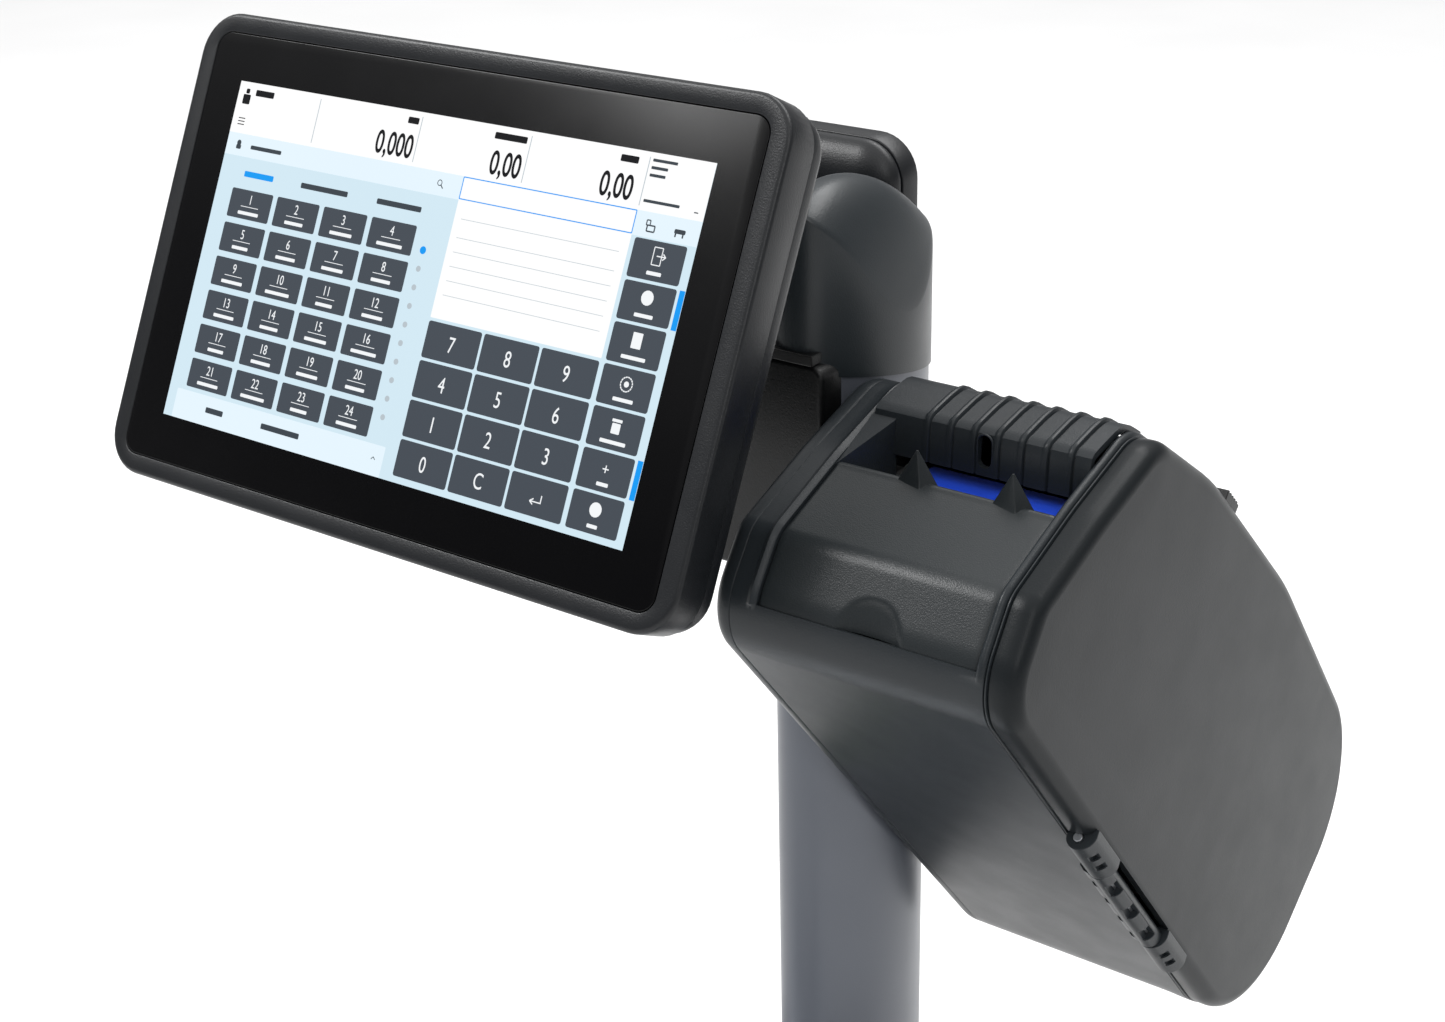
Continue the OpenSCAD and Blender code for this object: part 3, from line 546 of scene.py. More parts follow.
def towards(p, q, d):
    """p moved towards q by the share of the wall that d millimetres are."""
    t = d / 2.5
    return p[0] + (q[0] - p[0]) * t, p[1] + (q[1] - p[1]) * t


def rim_height(x, side):
    """How far the window's frame stands proud at x, in millimetres; the right rim also runs on."""
    if x >= WINDOW[1] - 0.3 and side:
        t = (x - WINDOW[1] + 0.3) / 3.9
        if t <= 1:
            return 1.7 * math.sin(math.pi * max(0, t)) ** 0.7
        return {155.75: -0.8, 156.2: 0.3, 156.7: 0.3}.get(x, -0.4)
    if 46.5 < x < WINDOW[0] + 0.01:
        t = (x - 46.5) / (WINDOW[0] - 46.5)
        return 0.7 * (1 - math.cos(math.tau * t))
    return 0.0


def housing():
    xs = [COVER_EDGE + 0.2, COVER_EDGE + 0.9, 43, 46.5, 47.3, 48.1, 49, 49.8, 50.6, 51.1, 51.5] + \
         [51.5 + k * 100.5 / 12 for k in range(1, 12)] + \
         [152, 152.3, 152.8, 153.4, 154, 154.6, 155.1, 155.4, 155.6, 155.75, 156.2, 156.7, 157]
    outer, inner = [], []
    for i in range(N_SIDE):
        framed = i <= WINDOW_END + 3
        fade = 1.0 if i <= WINDOW_END else max(0.0, 1 - (i - WINDOW_END) / 3)
        row = []
        for x in xs:
            left = x < WINDOW[0] + 0.01
            lift = rim_height(x, True) if not left else rim_height(x, False) * (fade if framed else 0)
            if x > WINDOW[1] - 0.2 and i > WINDOW_END:
                low = OUTER[i][1] < -100 and OUTER[i][0] < 245
                lift = min(lift, 0.35) if low else lift
            y, z = towards(OUTER[i], INNER_LINE[i], -lift)
            row.append((x, y, z))
        outer.append(row)
        inner.append([(x, *INNER_LINE[i]) for x in xs])
    first, last = xs.index(51.5), xs.index(152)
    grid = shell(outer, inner, lambda i, j: not (first <= j < last and i < WINDOW_END), closed=True)
    wedge = [(51.3, 56.5), (62.4, 84.4), (62.4, 86), (51.3, 86)]
    walls = [loft([[(x, y, -76) for x, y in wedge], [(x, y, -55.6 + (y - 56.5) * 0.44) for x, y in wedge]])]
    for x0, x1 in ((49.3, 51.2), (152.3, 154.2)):
        top = [p for p in side_outline(1.5) if 50 < p[0] < 127 and p[1] > -90]
        ring = [*top, (127, -62), (100, -70), (50, -70)]
        walls.append(loft([[(x, y, z) for y, z in ring] for x in (x0, x1)]))
    piece("printer_shell", *join(grid, *walls), SIDE, PLASTIC, "stand", ["printer_housing"], "casing_dark",
          sharp=42)


def barrel():
    """The hinge's fixed middle knuckle, with the square pockets of a moulded hinge."""
    z0, z1 = KNUCKLE_L + 0.5, HINGE_L - KNUCKLE_L - 0.5
    ring = [(-9, 3.6), (-9, -1.4), (-6.5, -3.4), (-3.2, -4.1)]
    ring += [(KNUCKLE_R * math.cos(a), KNUCKLE_R * math.sin(a)) for a in
             (math.radians(q) for q in range(-128, 91, 9))]
    ring += [(-4, 5.0)]
    obj = piece("hinge_barrel", *loft([[(x, y, z) for x, y in ring] for z in (z0, z1)]), HINGE, PLASTIC,
                "stand", (), "casing_dark", bevel=0.35, sharp=40)
    cuts = [box((1.4, -6.5, z), (8, -0.4, z + 11)) for z in (z0 + 9, z0 + 36, z0 + 63)]
    cuts += [box((-8.6, -8, z), (-4.6, -2.2, z + 7.5)) for z in (z0 + 4, z0 + 24, z0 + 46, z0 + 66)]
    carve(obj, cuts, HINGE)


def left_cover():
    rounding = 6.0
    rows = [(COVER_EDGE - 0.1, 0.5), (COVER_EDGE - 0.5, 0.1), (COVER_EDGE - 1, 0)]
    rows += [(COVER_L + rounding * (1 - math.sin(a)), rounding * (1 - math.cos(a))) for a in
             (math.radians(q) for q in range(0, 91, 15))]
    rings = [[(x, y, z) for y, z in side_outline(d)] for x, d in rows]
    inside = [[(x, y, z) for y, z in side_outline(d)] for x, d in
              ((COVER_L + 2.5, rounding + 1), (COVER_L + 4, 3.6), (COVER_L + 7, 2.5), (COVER_EDGE - 0.1, 2.5))]
    piece("printer_left_cover", *join(loft(rings, caps=False), loft(inside, caps=False),
          loft([rings[0], inside[-1]], caps=False), cap(rings[-1]), cap(inside[0])), SIDE, PLASTIC,
          "stand", ["left_cover"], "casing_dark", sharp=30)


def cap(ring):
    return list(ring), [tuple(range(len(ring)))]


def lid():
    """The outlet lid: a curved sheet with a scooped finger recess and a rolled upper edge."""
    line = [p for p in OUTER[:WINDOW_END + 1] if p[0] < 57.2]
    dense = [line[0]]
    for p in line[1:]:
        q = dense[-1]
        parts = max(1, round(math.dist(p, q) / 1.3))
        dense += [(q[0] + (p[0] - q[0]) * k / parts, q[1] + (p[1] - q[1]) * k / parts) for k in range(1, parts + 1)]
    dense = dense[:-1] + [(56.6, dense[-1][1])]
    path, lengths = [], [0.0]
    for i, p in enumerate(dense):
        a, b = dense[max(0, i - 1)], dense[min(len(dense) - 1, i + 1)]
        t = unit(b[0] - a[0], b[1] - a[1])
        path.append((p, (t[1], -t[0])))
        if i:
            lengths.append(lengths[-1] + math.dist(p, dense[i - 1]))
    end, (nx, nz) = path[-1]
    base = (end[0] + nx * 3.4, end[1] + nz * 3.4)
    for k in range(1, 6):
        a = math.radians(18 * k)
        tangent = unit(-nz, nx)
        normal = (-nx * math.cos(a) + tangent[0] * math.sin(a), -nz * math.cos(a) + tangent[1] * math.sin(a))
        path.append(((base[0] + normal[0] * 3.4, base[1] + normal[1] * 3.4), (-normal[0], -normal[1])))
        lengths.append(lengths[-1] + 1)
    p, n = path[-1]
    path.append(((p[0] - 0.4, p[1] - 5.5), n))
    lengths.append(lengths[-1] + 5)
    x0, x1 = WINDOW[0] + 0.6, WINDOW[1] - 0.6
    margin = 1.5
    xs = [x0, x0 + 0.5, x0 + margin]
    xs += [x0 + margin + (x1 - x0 - 2 * margin) * k / 64 for k in range(1, 64)]
    xs += [x1 - margin, x1 - 0.5, x1]
    outer, inner = [], []
    for (p, n), s in zip(path, lengths):
        top, under = [], []
        for x in xs:
            depth = 0.8
            reach = math.hypot((x - 103) / 14.5, s / 15.5)
            if reach < 1:
                depth += 3.4 * (1 - reach ** 2) ** 0.7
            side = max(0.0, 1 - min(x - x0, x1 - x) / 1.5)
            depth += 0.5 * side ** 2
            top.append((x, p[0] + n[0] * depth, p[1] + n[1] * depth))
            under.append((x, p[0] + n[0] * (depth + 2.2), p[1] + n[1] * (depth + 2.2)))
        outer.append(top)
        inner.append(under)
    parts = [shell(outer, inner)]
    for fin_x in (COVER_L + 52, COVER_L + 95.2):
        parts.append(guide_fin(fin_x))
    for x in (WINDOW[0] + 0.8, WINDOW[1] - 3.8):
        parts.append(moved(rod(2.9, 0, 3), shift(x, 60, -58.8) @ turn(90, "Y")))
        parts.append(moved(rod(1.5, -3.2, 6.2, 0.2), shift(x, 60, -58) @ turn(90, "Y")))
    piece("label_outlet_lid", *join(*parts), SIDE, PANEL, "outlet_lid", ["outlet_lid"], "casing_dark", sharp=36)


def guide_fin(x):
    """A three-cornered fin that grows out of the lid's upper edge; its ridge runs down the front."""
    foot_z, tip = -57.5, (x + 7.4, 58.6, -41.6)
    corners = ((-1.6, 57.6, 150), (10.6, 55.6, 250), (16.0, 61.2, 320), (8.0, 63.0, 70))
    rings = []
    for k in range(15):
        t = k / 14
        sweep = 1.0 * max(0.0, 1 - t * 3.2) ** 2
        ring = []
        for dx, y, start in corners:
            cx = x + dx + (tip[0] - x - dx) * t
            cy = y - (sweep if y < 60 else 0) + (tip[1] - y) * t
            for m in range(5):
                a = math.radians(start + 25 * m)
                ring.append((cx + 0.45 * math.cos(a), cy + 0.45 * math.sin(a), foot_z + (tip[2] - foot_z) * t))
        rings.append(ring)
    return loft(rings)


def rib_bar():
    """The ribbed bar behind the outlet: overlapping bands with a bead and a groove between each."""
    knots = [(84, -58), (84.6, -50), (85.3, -43.5), (86.2, -40.6), (88.3, -39.0), (91, -38.3),
             (97, -37.0), (104, -35.6), (110, -34.9), (114, -35.4), (118, -37.2), (123, -40.2), (127.6, -43.2)]
    line = [knots[0]]
    for p in knots[1:]:
        q = line[-1]
        parts = max(1, round(math.dist(p, q) / 2.2))
        line += [(q[0] + (p[0] - q[0]) * k / parts, q[1] + (p[1] - q[1]) * k / parts) for k in range(1, parts + 1)]
    xs = [WINDOW[0] + 0.4, WINDOW[0] + 1]
    ribs = [COVER_L + 47 + 10.9 * k for k in range(7)]
    for r in ribs:
        xs += [r + d for d in (-5, -2.2, -1.7, -1.2, -0.6, 0, 0.5, 0.9, 1.2, 1.5, 1.9, 2.4, 4)]
    xs = sorted(x for x in xs if x < WINDOW[1] - 1) + [WINDOW[1] - 1, WINDOW[1] - 0.4]
    outer, inner = [], []
    for i, p in enumerate(line):
        a, b = line[max(0, i - 1)], line[min(len(line) - 1, i + 1)]
        t = unit(b[0] - a[0], b[1] - a[1])
        n = (-t[1], t[0])
        crest = min(1, max(0, (p[0] - 85.2) / 4))
        top, under = [], []
        for x in xs:
            lift = 0.0
            for r in ribs:
                d = x - r
                if abs(d) < 1.6:
                    lift += (0.1 + 1.0 * crest) * (1 - (d / 1.6) ** 2) ** 0.8
                if abs(d - 1.75) < 0.65:
                    lift -= 1.1 * (1 - ((d - 1.75) / 0.65) ** 2)
            if p[0] < 85.5 or x < WINDOW[0] + 12:
                lift = min(lift, 0.4) if x >= WINDOW[0] + 12 else 0
            top.append((x, p[0] + n[0] * lift, p[1] + n[1] * lift))
            under.append((x, p[0] - n[0] * 3, p[1] - n[1] * 3))
        outer.append(top)
        inner.append(under)
    obj = piece("rib_bar", *shell(outer, inner), SIDE, PLASTIC, "stand", ["rib_panel"], "casing_dark", sharp=48)
    hole_x, hole_z = COVER_L + 74.7, -47.8
    slot_cut = loft([slot_ring(3.1, 3.9, y) for y in (70, 100)])
    at = SIDE @ shift(hole_x, 0, hole_z)
    carve(obj, [slot_cut], at)
    bead = []
    for k in range(8):
        a = math.radians(45 * k)
        bead.append(slot_ring(3.5 + 0.45 * math.cos(a), 3.9, 84.9 - 0.5 * math.sin(a)))
    piece("rib_bar_hole_bead", *loft(bead, wrap=True), at, PLASTIC, "stand", (), "casing_dark", sharp=60)


def slot_ring(r, half, y, steps=12):
    """A ring in the xz plane: an upright slot with round ends."""
    out = []
    for centre, start in ((half, 0), (-half, 180)):
        for k in range(steps + 1):
            a = math.radians(start + 180 * k / steps)
            out.append((r * math.cos(a), y, centre + r * math.sin(a)))
    return out


def door():
    """The side door: a hollow crowned lid with a rounded rim."""
    x0 = SEAM + 0.4
    r_edge = 7.2
    rows = [(x0, 0.7), (x0 + 0.25, 0.25), (x0 + 0.8, 0.0), (DOOR_FACE - r_edge - 0.4, 0.0)]
    rows += [(DOOR_FACE - 0.4 - r_edge * (1 - math.sin(a)), r_edge * (1 - math.cos(a))) for a in
             (math.radians(q) for q in range(8, 91, 8))]
    rows += [(DOOR_FACE - 0.4, r_edge), (DOOR_FACE - 0.25, r_edge + 5), (DOOR_FACE, r_edge + 16)]
    outside = [[(x, y, z) for y, z in side_outline(d, 6 if d > 12 else 2)] for x, d in rows]
    within = [(x0, 2.6), (DOOR_FACE - r_edge, 2.6)]
    within += [(DOOR_FACE - 2.9 - 7 * (1 - math.sin(a)), 2.6 + 7 * (1 - math.cos(a))) for a in
               (math.radians(q) for q in (20, 40, 60, 80, 90))]
    inside = [[(x, y, z) for y, z in side_outline(d)] for x, d in within]
    parts = [loft(outside, caps=False), loft(inside, caps=False), loft([outside[0], inside[0]], caps=False),
             cap(outside[-1]), cap(inside[-1])]
    # The door takes the darker copy of the housing plastic: painted shade.
    obj = piece("side_door", *join(*parts), SIDE, DOOR_PAINTED_SHADE, "printer_door", ["printer_door"], "casing_dark", sharp=30)
    carve(obj, [box((-8, -9, KNUCKLE_L - 0.2), (9, 6.4, HINGE_L - KNUCKLE_L + 0.2)),
                box((-9, -9, -0.6), (0.0, 7, KNUCKLE_L + 1)),
                box((-9, -9, HINGE_L - KNUCKLE_L - 1), (0.0, 7, HINGE_L + 0.6))], HINGE)
    carve(obj, [box((-5.1, -8.6, -8), (4.1, 8.6, 8))], LATCH)
    ribs = []
    for y in (120, 180, 240):
        low, high = -300 if y > 130 else -215, -110 if y < 200 else -200
        ribs.append(box((DOOR_FACE - 6.5, y - 0.8, low), (DOOR_FACE - 2.4, y + 0.8, high)))
    piece("side_door_ribs", *join(*ribs), SIDE, PLASTIC, "printer_door", (), "casing_dark", bevel=0.3)
    for name, z0 in (("hinge_knuckle_low", 0.0), ("hinge_knuckle_high", HINGE_L - KNUCKLE_L)):
        knuckle(name, z0, z0 + KNUCKLE_L)


def knuckle(name, z0, z1):
    """A door knuckle: round at the pin, merging into the door's flange, with two small slots."""
    ring = [(KNUCKLE_R * math.cos(a), KNUCKLE_R * math.sin(a)) for a in
            (math.radians(q) for q in range(90, 271, 9))]
    ring += [(7.6 * math.sin(a), 2.4 - (KNUCKLE_R + 2.4) * math.cos(a)) for a in
             (math.radians(q) for q in range(9, 91, 9))]
    ring += [(7.2, 5.8)]
    obj = piece(name, *loft([[(x, y, z) for x, y in ring] for z in (z0, z1)]), HINGE, PLASTIC, "printer_door",
                (), "casing_dark", bevel=0.35, sharp=40)
    middle = (z0 + z1) / 2
    carve(obj, [box((3.4, -8, middle + d), (9.5, -1.0, middle + d + 4.6)) for d in (-7.2, 2.6)] +
          [rod(2.1, z0 - 1, z1 + 1, 0.1, 32)], HINGE)


def latch():
    foot = ((-4.4, -7.9), (3.4, -7.9), (3.4, 7.9), (-4.4, 7.9))
    parts = [loft([[(x, y, z) for x, y in foot] for z in (-6, 0.6)])]
    for k in range(5):
        y = -6 + 3 * k
        parts.append(box((-4.0, y - 0.7, 0.4), (3.0, y + 0.7, 1.5)))
    parts.append(box((-4.4, -10.9, -7.4), (3.4, 10.9, -5.3)))
    piece("door_thumb_latch", *join(*parts), LATCH, BLACK, "door_latch", ["door_latch"], "casing_dark", bevel=0.4)


def roll():
    """Label roll: wound paper with a core."""
    centre_y, centre_z = 238, -262
    angles = [math.tau * k / 72 for k in range(72)]
    inner_r, x0, x1 = 20.2, 57.2, 143.8
    stations = ((inner_r, x0 + 0.4), (inner_r + 2.2, x0 + 0.2), (inner_r + 2.6, x0), (60.8, x0),
                (61.7, x0 + 0.5), (61.9, x0 + 1.2), (61.9, x1 - 1.2), (61.7, x1 - 0.5), (60.8, x1),
                (inner_r + 2.6, x1), (inner_r + 2.2, x1 - 0.2), (inner_r, x1 - 0.4))
    rings = [[(x, centre_y + radius * math.cos(a), centre_z + radius * math.sin(a)) for a in angles]
             for radius, x in stations]
    piece("paper_roll", *loft(rings, wrap=True), SIDE, PAPER, "label_roll", ["label_roll"], "label_paper", sharp=50)


# ------------------------------------------------------------------ column, head and arm


def column():
    outer = [pole_ring(0, z) for z in (POLE_FOOT, 200, 400, POLE_TOP)]
    inner = [pole_ring(-3, z) for z in (POLE_TOP, POLE_FOOT)]
    piece("column_tube", *loft(outer + inner, wrap=True), MILLI, SLATE, "stand", ["column"],
          "column_grey", sharp=40)


def head():
    """The head: an oval cap under a doubly curved top whose rim is softly rounded."""
    k = 1.5

    def top(x, y):
        return SCREEN_H + 37.19 - 0.12 * y - 51.41 * abs(x / 28) ** 2.47 - 16.22 * ((y + 9.24) / 48) ** 2

    def lower(y):
        return SCREEN_H - 44 - 0.2 * (y + 25)

    rings = []
    base = pole_ring(1.0, 0, 28)
    for share in (0.0, 0.33, 0.66):
        rings.append([(x, y, lower(y) + share * (top(x, y) - k - lower(y))) for x, y, _ in base])
    for d in (k * share for share in (0, 0.04, 0.15, 0.35, 0.65, 1)):
        drop = k - math.sqrt(max(0, k * k - (k - d) ** 2))
        rings.append([(x, y, top(x, y) - drop) for x, y, _ in pole_ring(1.0 - d, 0, 28)])
    core = pole_ring(1.0 - k, 0, 28)
    for share in (0.93, 0.86, 0.78, 0.7, 0.6, 0.5, 0.4, 0.3, 0.2, 0.1, 0.03):
        rings.append([(x * share, y * share, top(x * share, y * share)) for x, y, _ in core])
    inside = [[(x, y, lower(y)) for x, y, _ in pole_ring(0.12, 0, 28)],
              [(x, y, POLE_TOP + 0.2) for x, y, _ in pole_ring(0.12, 0, 28)]]
    parts = [loft(rings, caps=False), cap(rings[-1]),
             loft([rings[0], inside[0], inside[1]], caps=False), cap(inside[1])]
    piece("head_cap", *join(*parts), MILLI, ANTHRACITE, "stand", ["head_cover"], "casing_dark", sharp=50)


def arm():
    left, right, front, back = -165, 18, -50.3, -25.3
    low, high = SCREEN_H - 138, SCREEN_H - 34
    upright = shift((left + right) / 2, back, (low + high) / 2) @ turn(90, "X")
    plate = moved(soft_slab(right - left, high - low, 6, 0, back - front, 1.5, 2.2), upright)
    block = moved(soft_slab(43, 47.3, 3, low + 4, high - 4, 1), shift(-36.5, -1.65, 0))
    ledge = box((-50, front - 1.0, high + 0.2), (13.4, front + 12, high + 5.0))
    piece("arm_plate", *join(plate, block), MILLI, BLACK, "stand", ["display_arm"], "bracket_grey", sharp=40)
    piece("arm_ledge", *ledge, MILLI, BLACK, "stand", (), "bracket_grey", bevel=0.5)


# ------------------------------------------------------------------ displays


def bezel_shape(w, h, r, depth, lip_w=20, lip_h=18):
    """A frame round a glass: flat front face, soft outer edge, open back."""
    ring = lambda dw, dr, z: rounded_box(w - dw, h - dw, max(r - dr, 0.5), z, 10)
    hole = lambda grow, z, rr=8.2: rounded_box(w - lip_w + grow, h - lip_h + grow, rr, z, 10)
    edge = 2.2
    rings = [hole(0.4, -3.2), hole(0.4, -0.35), hole(0.7, -0.1), hole(1.1, 0.0), ring(2 * edge, edge, 0.0)]
    rings += [ring(2 * edge * (1 - math.sin(a)), edge * (1 - math.sin(a)), -edge * (1 - math.cos(a))) for a in
              (math.radians(q) for q in (15, 30, 45, 60, 75, 90))]
    rings += [ring(0.0, 0.0, 0.7 - depth), ring(0.5, 0.25, 0.2 - depth), ring(1.4, 0.7, -depth),
              hole(-8, -depth, 6), hole(-8, -3.2, 6)]
    return loft(rings, wrap=True)


def operator_display():
    w, h = 327, 214
    piece("operator_bezel", *bezel_shape(w, h, 20, 18), OPERATOR, BEZEL, "operator_display", ["operator_frame"],
          "bezel_black", sharp=50)
    piece("operator_cover_glass", *soft_slab(w - 20.2, h - 18.2, 8, -3, 0, 0.3, 0.5), OPERATOR, GLASS,
          "operator_display", ["operator_glass"], "screen_glass", sharp=60)
    back = [rounded_box(w - a, h - a, 20 - a / 2, z, 10) for a, z in
            ((5, -18.3), (3.4, -18.9), (3, -19.6), (3, -24.5), (4.4, -26.8), (8, -28.8), (13, -29.8), (20, -30.1))]
    hump = [[(x, y - 20, z) for x, y, z in rounded_box(210 - a, 130 - a, 16 - a / 4, z, 10)] for a, z in
            ((-10, -29.9), (-5, -30.6), (-1.5, -32.5), (0, -35.5), (2, -50), (4.5, -54.5), (9, -57), (16, -58))]
    obj = piece("operator_back", *join(loft(back), loft(hump)), OPERATOR, BEZEL, "operator_display",
                ["operator_rear"], "casing_dark", sharp=40)
    vents = [moved(soft_slab(44, 2.4, 1.1, -62, -54.5, 0.1), shift(side * 66, -20 + 6 * k, 0))
             for side in (-1, 1) for k in range(-5, 6)]
    carve(obj, vents, OPERATOR)
    hole = [moved(rod(5.35, -6, 8, 0.1), shift(60, -85, -44) @ turn(-90, "X"))]
    carve(obj, hole, OPERATOR)


def customer_display():
    w, h = 208, 146
    piece("customer_bezel", *bezel_shape(w, h, 20, 14), CUSTOMER, BEZEL, "customer_display", ["customer_frame"],
          "bezel_black", sharp=50)
    piece("customer_cover_glass", *soft_slab(w - 20.2, h - 18.2, 8, -3, 0, 0.3, 0.5), CUSTOMER, GLASS,
          "customer_display", ["customer_glass"], "screen_glass", sharp=60)
    rim = [rounded_box(w - a, h - a, 20 - a / 2, z, 10) for a, z in
           ((3, -14.3), (1.6, -14.8), (1, -15.4), (1, -17), (2.4, -19), (7, -21.6), (14, -24.2), (24, -26.4),
            (34, -27.6), (42, -28), (60, -28))]
    pedestal = moved(soft_slab(92, 66, 10, -28.4, -19, 0.6, 0.3), shift(0, -20, 0))
    piece("customer_back", *join(loft(rim), pedestal), CUSTOMER, BEZEL, "customer_display", ["customer_rear"],
          "casing_dark", sharp=40)


# Screen layout in millimetres from the lit area's top left corner
LIT_W, LIT_H = 266, 153.8
OPERATOR_LIGHT, CUSTOMER_LIGHT = 1.0, 0.9
LAYER = {"field": 0.06, "band": 0.12, "white": 0.18, "key": 0.24, "ink": 0.30}


class Ink:
    """Collects flat shapes of one colour on a display face, then makes them one piece."""

    def __init__(self, level, width=LIT_W, height=LIT_H):
        self.z, self.w, self.h, self.parts = LAYER[level], width, height, []

    def rect(self, x0, y0, x1, y1, r=0.0):
        w, h = x1 - x0, y1 - y0
        r = max(0.02, min(r, w / 2 - 0.01, h / 2 - 0.01))
        at = shift((x0 + x1) / 2 - self.w / 2, self.h / 2 - (y0 + y1) / 2, 0)
        self.parts.append(moved(loft([rounded_box(w, h, r, z, 4) for z in (self.z - 0.05, self.z)]), at))

    def dot(self, x, y, r):
        self.rect(x - r, y - r, x + r, y + r, r)

    def bar(self, xa, ya, xb, yb, t):
        """A stroke from a to b."""
        dx, dy = unit(xb - xa, yb - ya)
        nx, ny = -dy * t / 2, dx * t / 2
        pts = [(xa + nx, ya + ny), (xb + nx, yb + ny), (xb - nx, yb - ny), (xa - nx, ya - ny)]
        flat = [(x - self.w / 2, self.h / 2 - y) for x, y in pts]
        self.parts.append(loft([[(x, y, z) for x, y in flat] for z in (self.z - 0.05, self.z)]))

    def outline(self, x0, y0, x1, y1, t):
        for a in ((x0, y0, x1, y0), (x1, y0, x1, y1), (x1, y1, x0, y1), (x0, y1, x0, y0)):
            self.bar(*a, t)

    def ring(self, x, y, radius, steps, width, share=1, start=0):
        """A circle of short bars; a share under 1 leaves gaps between them."""
        for k in range(steps):
            a, b = math.tau * k / steps + start, math.tau * (k + share) / steps + start
            self.bar(x + radius * math.cos(a), y + radius * math.sin(a),
                     x + radius * math.cos(b), y + radius * math.sin(b), width)

    def digits(self, text, x, y, size, align="CENTER", squeeze=0.78, weight=0.0):
        """Digits as a mesh, their middle at y; size is the height of a figure."""
        curve = bpy.data.curves.new("digits", "FONT")
        curve.body, curve.align_x, curve.align_y = text, align, "TOP_BASELINE"
        curve.size = size / 0.73
        obj = bpy.data.objects.new("digits", curve)
        bpy.context.scene.collection.objects.link(obj)
        curve.extrude, curve.offset = 0.02, weight
        data = bpy.data.meshes.new_from_object(obj.evaluated_get(bpy.context.evaluated_depsgraph_get()))
        lift = self.z - 0.02
        self.parts.append(([(x - self.w / 2 + v.co.x * squeeze, self.h / 2 - y - size / 2 + v.co.y, v.co.z + lift)
                            for v in data.vertices], [tuple(p.vertices) for p in data.polygons]))
        bpy.data.objects.remove(obj)
        bpy.data.curves.remove(curve)
        bpy.data.meshes.remove(data)

    def make(self, name, material, local, body):
        piece(name, *join(*self.parts), local, material, body, (), "lcd", sharp=60)


